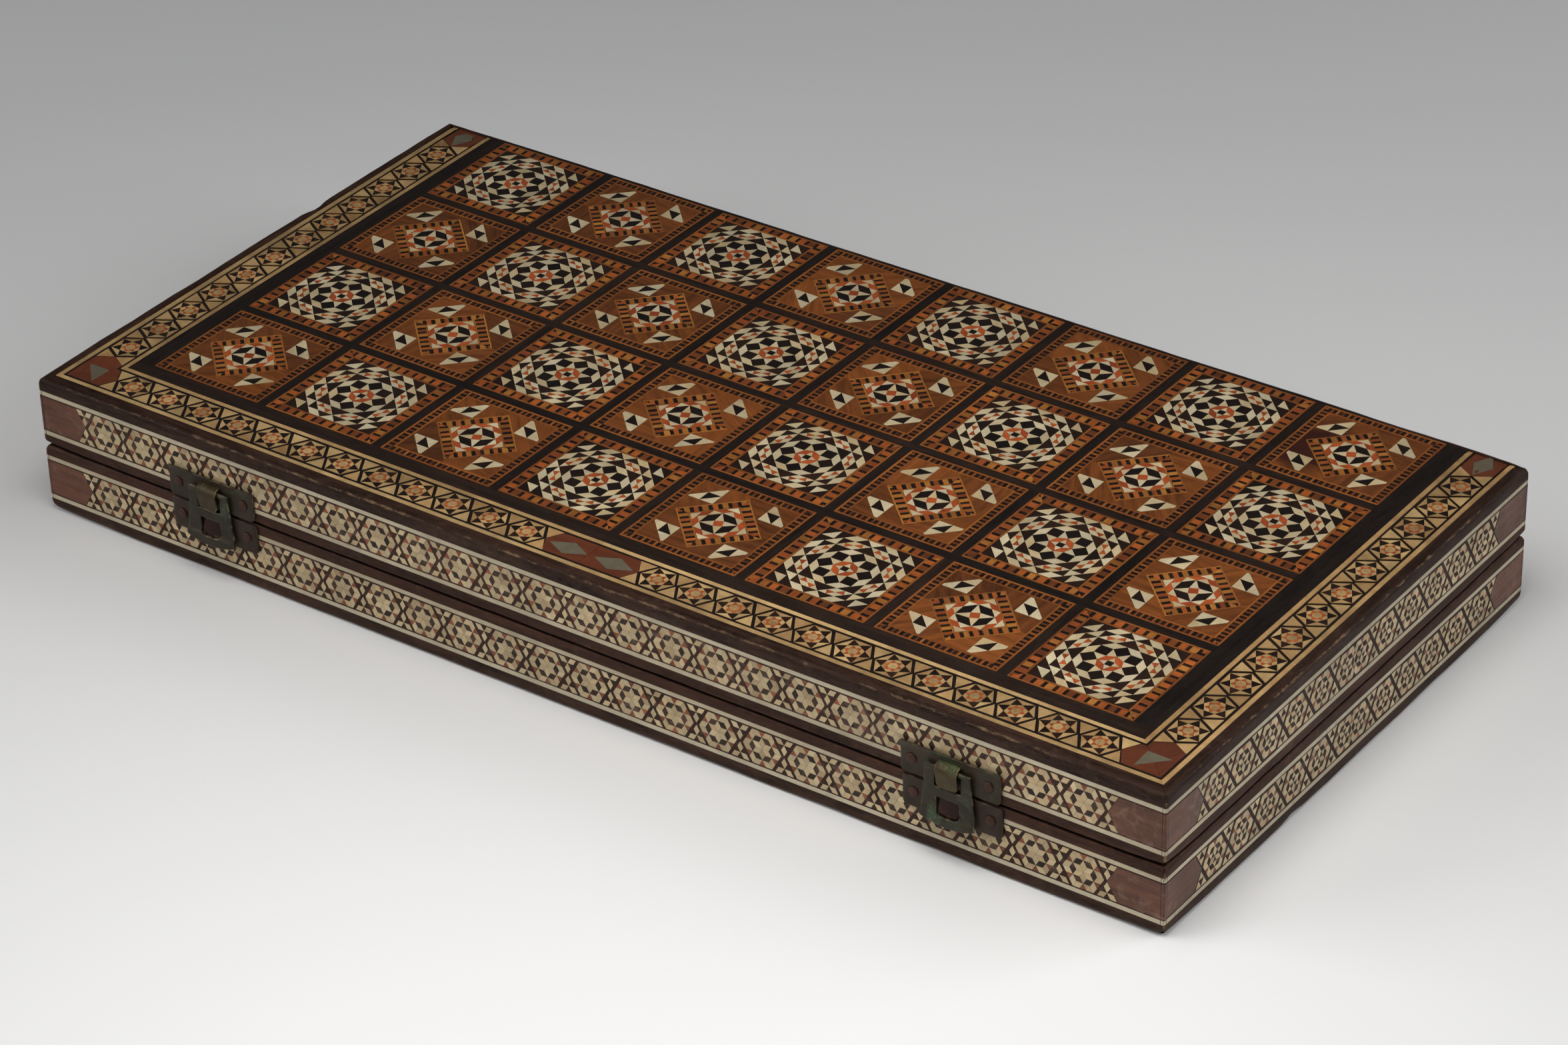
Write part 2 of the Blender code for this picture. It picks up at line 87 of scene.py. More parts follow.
def linear(colour):
    """A display colour from 0 to 255 as the shader's linear values."""
    values = []
    for channel in colour:
        c = channel / 255
        values.append(c / 12.92 if c <= 0.04045 else ((c + 0.055) / 1.055) ** 2.4)
    return values


class Nodes:
    """A short way to write a material's node tree."""

    def __init__(self, name):
        self.material = bpy.data.materials.new(name)
        self.material.use_nodes = True
        self.tree = self.material.node_tree
        self.surface = self.tree.nodes["Principled BSDF"]

    def feed(self, socket, value):
        if isinstance(value, bpy.types.NodeSocket):
            self.tree.links.new(value, socket)
        elif isinstance(value, (tuple, list)) and len(value) == 3 and len(socket.default_value) == 4:
            socket.default_value = (*value, 1)
        else:
            socket.default_value = value

    def node(self, kind, inputs=(), **settings):
        made = self.tree.nodes.new(kind)
        for key, value in settings.items():
            setattr(made, key, value)
        for key, value in dict(inputs).items():
            self.feed(made.inputs[key], value)
        return made

    def math(self, operation, a, b=0.0, c=0.0):
        inputs = {0: a, 1: b, 2: c}
        return self.node("ShaderNodeMath", inputs, operation=operation).outputs[0]

    def noise(self, vector, scale, detail=3.0, roughness=0.55, distortion=0.0):
        inputs = {
            "Vector": vector,
            "Scale": scale,
            "Detail": detail,
            "Roughness": roughness,
            "Distortion": distortion,
        }
        return self.node("ShaderNodeTexNoise", inputs).outputs["Fac"]

    def stretch(self, vector, scale):
        inputs = {0: vector, 1: scale}
        return self.node("ShaderNodeVectorMath", inputs, operation="MULTIPLY").outputs[0]

    def remap(self, value, low, high, to_low=0.0, to_high=1.0):
        inputs = {
            "Value": value,
            "From Min": low,
            "From Max": high,
            "To Min": to_low,
            "To Max": to_high,
        }
        return self.node("ShaderNodeMapRange", inputs).outputs["Result"]

    def mix(self, factor, a, b):
        made = self.node("ShaderNodeMix", data_type="RGBA")
        self.feed(made.inputs[0], factor)
        self.feed(made.inputs[6], a)
        self.feed(made.inputs[7], b)
        return made.outputs[2]

    def scaled(self, colour, factor):
        made = self.node("ShaderNodeVectorMath", operation="SCALE")
        self.feed(made.inputs[0], colour)
        self.feed(made.inputs["Scale"], factor)
        return made.outputs[0]

    def attribute(self, name):
        return self.node("ShaderNodeAttribute", attribute_name=name)

    def arris(self, reach=1.5):
        """1 on the box's outer edges, falling to 0 within reach (mm) on either face."""
        apart = self.node("ShaderNodeSeparateXYZ", {0: self.place()}).outputs
        near = []
        middles = (0.0, 0.0, HEIGHT / 2)
        halves = (LENGTH / 2, DEPTH / 2, HEIGHT / 2)
        for axis, (middle, half) in enumerate(zip(middles, halves)):
            off = self.math("ABSOLUTE", self.math("SUBTRACT", apart[axis], middle * MM))
            near.append(self.remap(off, (half - reach) * MM, half * MM))
        pairs = [self.math("MULTIPLY", near[i], near[i - 1]) for i in range(3)]
        return self.math("MAXIMUM", self.math("MAXIMUM", pairs[0], pairs[1]), pairs[2])

    def rim(self, reach=1.3):
        """Two masks where the halves meet: the rubbed edges, and painted shade in the mouth of the gap."""
        apart = self.node("ShaderNodeSeparateXYZ", {0: self.place()}).outputs
        off = self.math("ABSOLUTE", self.math("SUBTRACT", apart[2], HEIGHT / 2 * MM))
        masks = []
        for axis, half in enumerate((LENGTH / 2, DEPTH / 2)):
            masks.append(self.remap(self.math("ABSOLUTE", apart[axis]), (half - 3.5) * MM, (half - 2.0) * MM))
        shell = self.math("MAXIMUM", *masks)
        joint = self.math("MULTIPLY", shell, self.remap(off, 0.75 * MM, 0.5 * MM))
        return self.remap(off, reach * MM, 0.3 * MM), joint

    def dusty(self, colour, share):
        """Dust in patches, over the whole piece alike."""
        broad = self.noise(self.place(), 38.0, 6.0, 0.72)
        fine = self.noise(self.place(), 300.0, 3.0, 0.6)
        patches = self.remap(self.math("ADD", broad, fine), 1.06, 1.3, 0.0, 0.8 * share)
        return self.mix(patches, colour, linear(DUST))

    def place(self):
        return self.node("ShaderNodeTexCoord").outputs["Object"]

    def bump(self, height, distance, strength=1.0):
        inputs = {"Height": height, "Distance": distance, "Strength": strength}
        normal = self.node("ShaderNodeBump", inputs).outputs["Normal"]
        self.feed(self.surface.inputs["Normal"], normal)

    def set(self, **values):
        names = {
            "colour": "Base Color",
            "rough": "Roughness",
            "metal": "Metallic",
            "coat": "Coat Weight",
            "coat_rough": "Coat Roughness",
            "specular": "Specular IOR Level",
        }
        for key, value in values.items():
            self.feed(self.surface.inputs[names[key]], value)
        return self.material


DUST = (164, 140, 122)
BARE_WOOD = (150, 122, 92)  # where an arris is worn through its varnish
RUBBED_RIM = (124, 74, 48)
# Painted shade: near-black laid on the faces in the mouth of the gap between the halves
GAP_SHADE = (18, 13, 10)
STAIN_COLOUR = (48, 18, 14)
STAIN = (178.0, 94.0, HEIGHT)  # in millimetres, on the back right lozenge square


def timber(
    name, colour, other, vary=0.12, fibre=0.22, figure=0.15, rough=0.34, grime=0.25, gloss=0.5, worn=False
):
    """Varnished wood: fibres along each slip's own grain, growth figure, per-slip tone, old grime."""
    n = Nodes(name)
    base = linear(colour)
    other = linear(other)
    grain = n.attribute("grain").outputs["Vector"]
    tint = n.node("ShaderNodeSeparateColor", {"Color": n.attribute("tint").outputs["Color"]})
    fibres = n.noise(n.stretch(grain, (300.0, 4200.0, 1.0)), 1.0, 4.0, 0.6)
    rings = n.noise(n.stretch(grain, (38.0, 420.0, 1.0)), 1.0, 3.0, 0.5, 0.4)
    pores = n.noise(n.stretch(grain, (700.0, 9000.0, 1.0)), 1.0, 2.0, 0.7)
    tone = n.math("MULTIPLY_ADD", n.remap(fibres, 0.25, 0.75), 2 * fibre, 1 - fibre)
    tone = n.math("ADD", tone, n.remap(rings, 0.3, 0.7, -figure, figure))
    tone = n.math("ADD", tone, n.math("MULTIPLY_ADD", tint.outputs[0], 2 * vary, -vary))
    tone = n.math("ADD", tone, n.remap(pores, 0.62, 0.8, 0.0, -0.6 * fibre))
    old = n.noise(n.place(), 28.0, 5.0, 0.62)
    tone = n.math("MULTIPLY", tone, n.remap(old, 0.35, 0.7, 1.0, 1.0 - grime))
    colour = n.scaled(n.mix(tint.outputs[1], base, other), tone)
    if worn:
        scratch = n.noise(n.stretch(n.place(), (170.0, 170.0, 700.0)), 1.0, 6.0, 0.75)
        bare = n.remap(n.math("ADD", n.arris(2.2), scratch), 1.1, 1.34)
        colour = n.mix(n.math("MULTIPLY", bare, 0.8), colour, linear(BARE_WOOD))
        rim, joint = n.rim()
        rubbed = n.math("MULTIPLY", rim, n.remap(scratch, 0.45, 0.62))
        colour = n.mix(n.math("MULTIPLY", rubbed, 0.5), colour, linear(RUBBED_RIM))
        # Painted shade in the mouth of the gap between the halves
        colour = n.mix(n.math("MULTIPLY", joint, 0.85), colour, linear(GAP_SHADE))
    if name == "walnut":
        away = n.node("ShaderNodeVectorMath", {0: n.place(), 1: Vector(STAIN) * MM}, operation="DISTANCE")
        ragged = n.math("MULTIPLY", n.noise(n.place(), 150.0, 4.0, 0.6), 18 * MM)
        stain = n.remap(n.math("ADD", away.outputs["Value"], ragged), 31 * MM, 20 * MM, 0.0, 0.92)
        colour = n.mix(stain, colour, linear(STAIN_COLOUR))
    if gloss < 0.5:
        colour = n.dusty(colour, 0.06 if worn else 0.28)
    handled = n.noise(n.place(), 60.0, 4.0, 0.6)
    rough_map = n.remap(handled, 0.3, 0.7, rough - 0.07, rough + 0.09)
    rough_map = n.math("ADD", rough_map, n.remap(fibres, 0.3, 0.7, -0.03, 0.03))
    height = n.math("ADD", n.math("MULTIPLY", fibres, 0.5), n.math("MULTIPLY", pores, -0.5))
    n.bump(height, 0.00004, 0.8)
    return n.set(colour=colour, rough=rough_map, specular=gloss, coat=0.2 * gloss, coat_rough=0.2)


def bone(name, colour, other, grime=0.22, vary=0.08, gloss=0.5):
    """Camel bone and shell slips: faint streaks, fine pores and a waxy surface."""
    n = Nodes(name)
    grain = n.attribute("grain").outputs["Vector"]
    tint = n.node("ShaderNodeSeparateColor", {"Color": n.attribute("tint").outputs["Color"]})
    streaks = n.noise(n.stretch(grain, (160.0, 1500.0, 1.0)), 1.0, 3.0, 0.55)
    pores = n.noise(n.stretch(grain, (900.0, 5200.0, 1.0)), 1.0, 2.0, 0.6)
    clouds = n.noise(n.stretch(grain, (220.0, 220.0, 1.0)), 1.0, 4.0, 0.6)
    aged = n.math("ADD", n.math("MULTIPLY", tint.outputs[1], 0.55), n.remap(clouds, 0.3, 0.75, 0.0, 0.45))
    tone = n.math("ADD", n.remap(streaks, 0.3, 0.75, 1.03, 0.9), n.remap(pores, 0.62, 0.75, 0.0, -0.16))
    tone = n.math("ADD", tone, n.math("MULTIPLY_ADD", tint.outputs[0], 2 * vary, -vary))
    old = n.noise(n.place(), 34.0, 5.0, 0.65)
    tone = n.math("MULTIPLY", tone, n.remap(old, 0.38, 0.72, 1.0, 1.0 - grime))
    colour = n.scaled(n.mix(aged, linear(colour), linear(other)), tone)
    if gloss < 0.5:
        colour = n.dusty(colour, 0.25)
    handled = n.noise(n.place(), 60.0, 4.0, 0.6)
    n.bump(n.math("MULTIPLY", pores, -1.0), 0.00003, 0.6)
    rough = n.remap(handled, 0.3, 0.7, 0.24, 0.42)
    return n.set(colour=colour, rough=rough, specular=gloss, coat=0.2 * gloss, coat_rough=0.18)


def metal(name, colour, other, verdigris, bright, patina=0.5, rough=0.5, sheen=0.35):
    """Old plate metal: dark patina over brass, green in the hollows, rubbed bright along the edges, with a
    painted highlight along the boss's marked lower edge.
    """
    n = Nodes(name)
    worn = n.attribute("wear").outputs["Fac"]
    place = n.place()
    broad = n.noise(place, 110.0, 4.0, 0.6)
    fine = n.noise(place, 900.0, 4.0, 0.65)
    spots = n.noise(place, 75.0, 5.0, 0.62, 0.8)
    colour = n.mix(n.remap(broad, 0.3, 0.75), linear(colour), linear(other))
    crust = n.math("MULTIPLY", n.remap(spots, 0.55, 0.72), n.remap(fine, 0.4, 0.6, 0.35, 1.0))
    green = n.math("MULTIPLY", crust, patina)
    colour = n.mix(green, colour, linear(verdigris))
    flecks = n.remap(n.noise(place, 650.0, 6.0, 0.75), 0.56, 0.66, 0.0, 0.8)
    flecks = n.math("MULTIPLY", flecks, n.math("MULTIPLY", crust, patina))
    # Lightened where marked: rubbed sheet edges, and on the boss a painted highlight along its lower edge
    rubbed = n.math("MULTIPLY", worn, n.remap(n.noise(place, 260.0, 4.0, 0.7), 0.48, 0.72))
    rubbed = n.math("MAXIMUM", rubbed, flecks)
    colour = n.mix(rubbed, colour, linear(bright))
    colour = n.scaled(colour, n.remap(fine, 0.25, 0.75, 0.9, 1.1))
    n.bump(n.math("ADD", n.math("MULTIPLY", broad, 0.7), n.math("MULTIPLY", fine, 0.12)), 0.00016, 0.6)
    roughness = n.remap(broad, 0.3, 0.7, rough - 0.06, rough + 0.12)
    roughness = n.math("ADD", roughness, n.math("MULTIPLY", rubbed, -0.15))
    metallic = n.math("ADD", n.math("MULTIPLY", rubbed, 0.3), n.math("MULTIPLY_ADD", green, -sheen, sheen))
    return n.set(colour=colour, rough=roughness, metal=metallic, specular=0.18)


DULL = {"gloss": 0.08, "worn": True, "rough": 0.5}
# Kind, name, colour, second colour, settings
WOODS_AND_BONES = (
    # Chess squares and top borders, warm under their varnish
    (bone, "bone", (220, 208, 176), (196, 168, 118), {"grime": 0.28, "vary": 0.12}),
    (bone, "boxwood", (210, 178, 124), (160, 116, 70), {"grime": 0.5, "vary": 0.18}),
    (timber, "ebony", (32, 20, 14), (22, 14, 10), {"vary": 0.25, "fibre": 0.3, "rough": 0.3}),
    (timber, "wenge", (48, 28, 17), (34, 20, 13), {"vary": 0.25, "fibre": 0.35, "rough": 0.32}),
    (timber, "padauk", (184, 86, 40), (156, 68, 33), {"vary": 0.14, "fibre": 0.25}),
    (timber, "orange_wood", (176, 94, 40), (138, 68, 34), {"vary": 0.2, "fibre": 0.3}),
    (timber, "ochre_wood", (178, 116, 50), (140, 84, 40), {"vary": 0.2, "fibre": 0.3}),
    (timber, "brown_wood", (126, 68, 32), (92, 50, 28), {"vary": 0.2, "fibre": 0.3}),
    (timber, "line_wood", (156, 92, 40), (130, 72, 33), {"vary": 0.14, "fibre": 0.25}),
    (timber, "walnut", (130, 72, 30), (98, 54, 25), {"vary": 0.2, "fibre": 0.34, "figure": 0.34}),
    (timber, "strip", (42, 28, 20), (30, 21, 16),
        {"vary": 0.15, "fibre": 0.6, "figure": 0.4, "grime": 0.4, "worn": True}),
    (timber, "block", (112, 58, 34), (94, 48, 30), {"vary": 0.08, "fibre": 0.24}),
    (bone, "grey_shell", (116, 108, 88), (94, 86, 70), {"grime": 0.15}),
    # Side bandings and carcass, cooler and duller
    (bone, "side_bone", (208, 190, 152), (178, 150, 110), {"grime": 0.3, "vary": 0.16, "gloss": 0.2}),
    (bone, "side_line", (200, 188, 162), (176, 160, 130), {"grime": 0.3, "gloss": 0.3}),
    (timber, "side_dark", (66, 47, 38), (50, 35, 28),
        {"vary": 0.2, "fibre": 0.35, "rough": 0.46, "gloss": 0.08}),
    (timber, "side_rhomb", (76, 57, 45), (50, 37, 32),
        {"vary": 0.3, "fibre": 0.3, "rough": 0.42, "gloss": 0.12}),
    (timber, "side_red", (144, 78, 48), (112, 60, 40),
        {"vary": 0.2, "fibre": 0.25, "rough": 0.4, "gloss": 0.25}),
    (timber, "side_block", (114, 70, 50), (90, 56, 41),
        {"vary": 0.1, "fibre": 0.3, "figure": 0.25, "grime": 0.45, "rough": 0.38, "gloss": 0.25}),
    (timber, "edge", (62, 43, 34), (44, 31, 25), {"vary": 0.12, "fibre": 0.55, "figure": 0.4, **DULL}),
    (timber, "carcass", (66, 43, 33), (48, 31, 25), {"vary": 0.1, "fibre": 0.5, "figure": 0.3, **DULL}),
    (timber, "glue", (30, 21, 16), (24, 17, 13), {"vary": 0.1, "fibre": 0.1, "rough": 0.5}),
    # Inside of the trays
    (timber, "tray_wood", (150, 96, 58), (128, 78, 46),
        {"vary": 0.1, "fibre": 0.25, "figure": 0.22, "rough": 0.4}),
)
# Name: colour, second colour, verdigris, bright, patina, roughness, sheen
METALS = {
    "latch_brass": ((60, 50, 38), (44, 37, 28), (60, 80, 54), (120, 104, 76), 0.8, 0.42, 0.2),
    "keeper_brass": ((58, 45, 34), (42, 33, 26), (58, 56, 38), (112, 92, 66), 0.5, 0.42, 0.2),
    "hasp_brass": ((58, 52, 40), (43, 39, 31), (68, 92, 68), (150, 144, 116), 1.0, 0.42, 0.25),
    "tongue_brass": ((76, 63, 42), (54, 44, 30), (80, 96, 62), (184, 164, 122), 1.0, 0.4, 0.35),
    # The boss's bright colour is the painted highlight along its lower edge, and its pale flecks
    "boss_brass": ((46, 20, 12), (30, 14, 9), (58, 42, 26), (160, 130, 98), 0.3, 0.2, 0.15),
    "rivet_brass": ((76, 48, 38), (56, 37, 30), (56, 48, 34), (118, 90, 70), 0.3, 0.5, 0.2),
    "hinge_steel": ((104, 96, 84), (76, 68, 58), (88, 70, 48), (176, 170, 158), 0.5, 0.36, 0.8),
}
MATERIALS = {name: kind(name, *colours, **settings) for kind, name, *colours, settings in WOODS_AND_BONES}
MATERIALS.update({name: metal(name, *settings) for name, settings in METALS.items()})


# ---------------------------------------------------------------- geometry helpers


def polar(radius, degrees):
    angle = math.radians(degrees)
    return (radius * math.cos(angle), radius * math.sin(angle))


def turned(outline, degrees):
    c = math.cos(math.radians(degrees))
    s = math.sin(math.radians(degrees))
    return [(x * c - y * s, x * s + y * c) for x, y in outline]


def moved(outline, du, dv):
    return [(x + du, y + dv) for x, y in outline]


def scaled(outline, factor):
    return [(x * factor, y * factor) for x, y in outline]


def flipped(outline):
    return [(-x, y) for x, y in outline][::-1]


def area(outline):
    total = 0.0
    for (x0, y0), (x1, y1) in zip(outline, outline[1:] + outline[:1]):
        total += x0 * y1 - x1 * y0
    return total / 2


def clipped(outline, normal, limit):
    """The part of an outline where normal . point is at most limit."""
    kept = []
    for a, b in zip(outline, outline[1:] + outline[:1]):
        da = a[0] * normal[0] + a[1] * normal[1] - limit
        db = b[0] * normal[0] + b[1] * normal[1] - limit
        if da <= 0:
            kept.append(a)
        if (da < 0 < db) or (db < 0 < da):
            t = da / (da - db)
            kept.append((a[0] + t * (b[0] - a[0]), a[1] + t * (b[1] - a[1])))
    return kept


def inset(outline, gap):
    """The outline with each edge moved in, for the glue line around a slip."""
    count = len(outline)
    normals = []
    for i in range(count):
        (x0, y0), (x1, y1) = outline[i], outline[(i + 1) % count]
        size = math.hypot(x1 - x0, y1 - y0) or 1.0
        normals.append(((y0 - y1) / size, (x1 - x0) / size))
    moved_in = []
    for i in range(count):
        n0, n1 = normals[i - 1], normals[i]
        spread = max(1 + n0[0] * n1[0] + n0[1] * n1[1], 0.3)
        x, y = outline[i]
        moved_in.append((x + gap * (n0[0] + n1[0]) / spread, y + gap * (n0[1] + n1[1]) / spread))
    return moved_in


def wander(u, seed, size=0.12, wavelength=60.0):
    """Slow hand-made drift of a line, in millimetres."""
    return size * noise.noise(Vector((u / wavelength, seed * 7.31, 0.5)))


# Knocks along the arrises: x, y, half, reach and extra depth in millimetres
CHIPS = [
    (-250, 38, "upper", 7, 3.0),
    (-234, 125, "upper", 6, 2.5),
    (250, 118, "upper", 9, 2.5),
    (118, -125, "upper", 5, 1.6),
    (214, -125, "upper", 9, 1.4),
    (-60, -125, "upper", 4, 1.0),
    (250, -40, "lower", 6, 1.5),
    (250, 60, "upper", 5, 1.2),
]


def soften(points, half):
    """Rounds a half's arrises and corners as long use has worn them, for points in millimetres.

    Each pair of faces that meet gets a radius, which varies along the edge.
    """
    result = []
    for x, y, z in points:
        depth_x = LENGTH / 2 - abs(x)
        depth_y = DEPTH / 2 - abs(y)
        outer = z if half == "lower" else HEIGHT - z
        mating = HALF_HEIGHT - outer
        rough = noise.noise(Vector((x, y, z)) / 23.0) + 0.5 * noise.noise(Vector((x, y, z)) / 7.0)
        corner_near = math.exp(-(max(depth_x, 0) + max(depth_y, 0)) / 16.0)
        side = min(depth_x, depth_y)
        corner_radius = 0.8 + 0.3 * rough + (2.8 if half == "lower" else 0.7) * math.exp(-max(outer, 0) / 2.2)
        outer_radius = 1.6 + 0.5 * rough + (2.4 if half == "lower" else 1.0) * corner_near
        for chip_x, chip_y, chip_half, reach, deep in CHIPS:
            if half == chip_half:
                outer_radius += deep * max(0.0, 1.0 - math.hypot(x - chip_x, y - chip_y) / reach)
        mating_radius = 0.8 + 0.45 * rough + 1.5 * corner_near
        depth_x, depth_y = rounded_pair(depth_x, depth_y, corner_radius)
        side_new, outer = rounded_pair(side, outer, outer_radius)
        side_new, mating_new = rounded_pair(side_new, mating, mating_radius)
        shift = side_new - side
        corner = depth_x - depth_y
        if corner < 1.0:
            depth_x += shift
        if corner > -1.0:
            depth_y += shift
        outer += mating - mating_new
        x = math.copysign(LENGTH / 2 - depth_x, x)
        y = math.copysign(DEPTH / 2 - depth_y, y)
        z = outer if half == "lower" else HEIGHT - outer
        result.append((x, y, z))
    return result


def rounded_pair(a, b, radius):
    """Two depths below two faces that meet, pushed in where they lie outside a rounded edge."""
    if radius <= 0 or a >= radius or b >= radius:
        return a, b
    va = radius - a
    vb = radius - b
    reach = math.hypot(va, vb)
    if reach <= radius:
        return a, b
    return radius - va * radius / reach, radius - vb * radius / reach


class Builder:
    """Collects slips of wood and bone in one flat frame and makes one mesh of them.

    The frame has an origin, two directions along the face, and the face's outward normal.
    Lengths are in millimetres. Every slip is a closed prism with its own grain and tone.
    """

    def __init__(self, name, origin=(0, 0, 0), along=(1, 0, 0), across=(0, 1, 0), out=(0, 0, 1)):
        self.name = name
        self.origin = np.array(origin, float)
        self.axes = np.array((along, across, out), float)
        self.turns_over = np.linalg.det(self.axes) < 0
        self.random = random.Random(name)
        self.points = []
        self.grain = []
        self.tint = []
        self.faces = []
        self.species = []

    def add(self, points, faces, species, angle, tone=None):
        start = len(self.points)
        c = math.cos(angle)
        s = math.sin(angle)
        shift_u = self.random.uniform(-0.9, 0.9)
        shift_v = self.random.uniform(-0.9, 0.9)
        tint = tone or (self.random.random(), self.random.random(), self.random.random())
        for u, v, h in points:
            self.points.append((u, v, h))
            gu = (u * c + v * s) * MM + shift_u
            gv = (v * c - u * s + 0.6 * h) * MM + shift_v
            self.grain.append((gu, gv, shift_u))
            self.tint.append((*tint, 1.0))
        for face in faces:
            self.faces.append([start + i for i in face])
            self.species.append(species)

    def slip(self, outline, species, lift=0.0, angle=None, tone=None, gap=JOINT, level=0.012):
        """One flat piece with its own tiny tilt and height."""
        size = area(outline)
        if abs(size) < 0.02:
            return
        if size < 0:
            outline = outline[::-1]
        outline = inset(outline, gap / 2)
        r = self.random
        if angle is None:
            angle = r.uniform(0, math.pi)
        height = lift - PROUD + r.uniform(-level, 0)
        cu = sum(p[0] for p in outline) / len(outline)
        cv = sum(p[1] for p in outline) / len(outline)
        extent = max(math.hypot(u - cu, v - cv) for u, v in outline)
        steepest = min(0.0022, 0.01 / extent)
        tilt_u = r.uniform(-1, 1) * steepest
        tilt_v = r.uniform(-1, 1) * steepest
        top = []
        for u, v in outline:
            rise = min(tilt_u * (u - cu) + tilt_v * (v - cv), -height)
            top.append((u, v, height + rise))
        count = len(outline)
        bottom = [(u, v, lift - SLIP_DEPTH) for u, v in outline]
        faces = [list(range(count)), list(range(2 * count - 1, count - 1, -1))]
        for i in range(count):
            j = (i + 1) % count
            faces.append([i, count + i, count + j, j])
        self.add(top + bottom, faces, species, angle, tone)

    def ribbon(self, stations, species, lift=0.0, depth=SLIP_DEPTH, angle=0.0, tone=None):
        """A long piece through (u, low v, high v) stations, rounded with its face."""
        lift -= PROUD
        points = []
        for u, low, high in stations:
            points += [(u, low, lift), (u, high, lift), (u, high, lift - depth), (u, low, lift - depth)]
        faces = [[3, 2, 1, 0]]
        for k in range(len(stations) - 1):
            for i in range(4):
                j = (i + 1) % 4
                a, b = 4 * k, 4 * k + 4
                faces.append([a + i, a + j, b + j, b + i])
        last = 4 * (len(stations) - 1)
        faces.append([last, last + 1, last + 2, last + 3])
        if stations[-1][0] > stations[0][0]:
            faces = [face[::-1] for face in faces]
        self.add(points, faces, species, angle, tone)

    def build(self, half=None, smooth=False):
        local = np.array(self.points, float)
        world = self.origin + local @ self.axes
        if half:
            world = np.array(soften([tuple(p) for p in world], half))
        mesh = bpy.data.meshes.new(self.name)
        faces = [face[::-1] for face in self.faces] if self.turns_over else self.faces
        mesh.from_pydata((world * MM).tolist(), [], faces)
        names = sorted(set(self.species))
        for name in names:
            mesh.materials.append(MATERIALS[name])
        mesh.polygons.foreach_set("material_index", [names.index(s) for s in self.species])
        grain = mesh.attributes.new("grain", "FLOAT_VECTOR", "POINT")
        grain.data.foreach_set("vector", np.array(self.grain, np.float32).ravel())
        tint = mesh.attributes.new("tint", "FLOAT_COLOR", "POINT")
        tint.data.foreach_set("color", np.array(self.tint, np.float32).ravel())
        if smooth:
            mesh.shade_smooth()
            mesh.set_sharp_from_angle(angle=math.radians(38))
        mesh.update()
        obj = bpy.data.objects.new(self.name, mesh)
        bpy.context.scene.collection.objects.link(obj)
        return obj


def installed(obj, body, slot, *nodes):
    """Puts a finished piece on its body, in place of CAD nodes. The slot argument is not used."""
    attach(obj, body)
    if nodes:
        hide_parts(*nodes)
    return obj


def stations_between(low, high, step, fine=CORNER_STEPS):
    """Places along a run, close together near both ends, where the corners are rounded."""
    places = {round(low + f, 3) for f in fine} | {round(high - f, 3) for f in fine}
    count = max(int((high - low) / step), 1)
    for i in range(1, count):
        u = low + (high - low) * i / count
        if low + fine[-1] < u < high - fine[-1]:
            places.add(round(u, 3))
    return sorted(p for p in places if low <= p <= high)


# ---------------------------------------------------------------- camera, light and floor

CAMERA_PLACE = (0.9546, -1.3003, 1.0164)
CAMERA_FORWARD = (-0.50046, 0.68615, -0.52795)
CAMERA_RIGHT = (0.81587, 0.57780, -0.02244)
CAMERA_LENS = 116.4


def make_camera():
    data = bpy.data.cameras.new("camera")
    data.lens = CAMERA_LENS
    data.sensor_width = 36
    data.clip_end = 20
    camera = bpy.data.objects.new("camera", data)
    forward = Vector(CAMERA_FORWARD).normalized()
    right = Vector(CAMERA_RIGHT)
    right = (right - forward * right.dot(forward)).normalized()
    up = right.cross(forward)
    turn = Matrix((right, up, -forward)).transposed().to_4x4()
    camera.matrix_world = Matrix.Translation(CAMERA_PLACE) @ turn
    bpy.context.scene.collection.objects.link(camera)
    bpy.context.scene.camera = camera


def area_light(name, place, target, size, power, colour=(1, 1, 1), spread=180):
    data = bpy.data.lights.new(name, "AREA")
    data.shape = "RECTANGLE"
    data.size, data.size_y = size
    data.energy = power
    data.color = colour
    data.spread = math.radians(spread)
    light = bpy.data.objects.new(name, data)
    light.location = place
    direction = Vector(target) - Vector(place)
    light.rotation_euler = direction.to_track_quat("-Z", "Y").to_euler()
    bpy.context.scene.collection.objects.link(light)


FLOOR_COLOUR = (240, 240, 240)
FLOOR_REACH = 6  # metres from the middle to each edge


def make_studio():
    world = bpy.data.worlds.new("studio")
    bpy.context.scene.world = world
    world.use_nodes = True
    background = world.node_tree.nodes["Background"]
    background.inputs["Color"].default_value = (0.94, 0.97, 1.0, 1)
    background.inputs["Strength"].default_value = 0.05
    area_light("key", (0.2, -0.36, 0.85), (0.24, -0.38, 0), (0.6, 0.6), 2.1, (1.0, 0.985, 0.965), 100)
    area_light("left_fill", (-1.6, -1.45, 1.1), (-0.1, 0, 0.02), (1.8, 1.4), 23.0)
    area_light("right_fill", (1.7, 0.95, 1.1), (0.1, 0, 0.02), (1.8, 1.4), 23.0)
    # One plain pale material, with no light of its own
    n = Nodes("paper")
    place = n.place()
    fibre = n.noise(place, 900.0, 3.0, 0.6)
    n.bump(fibre, 0.00005, 0.3)
    colour = n.scaled(linear(FLOOR_COLOUR), n.remap(n.noise(place, 3.0, 2.0), 0.3, 0.7, 0.985, 1.0))
    paper = n.set(colour=colour, rough=0.8)
    bm = bmesh.new()
    bmesh.ops.create_grid(bm, x_segments=24, y_segments=24, size=FLOOR_REACH)
    mesh = bpy.data.meshes.new("floor")
    bm.to_mesh(mesh)
    bm.free()
    mesh.materials.append(paper)
    floor = bpy.data.objects.new("floor", mesh)
    floor.location.z = -0.0002
    bpy.context.scene.collection.objects.link(floor)


# ---------------------------------------------------------------- marquetry patterns


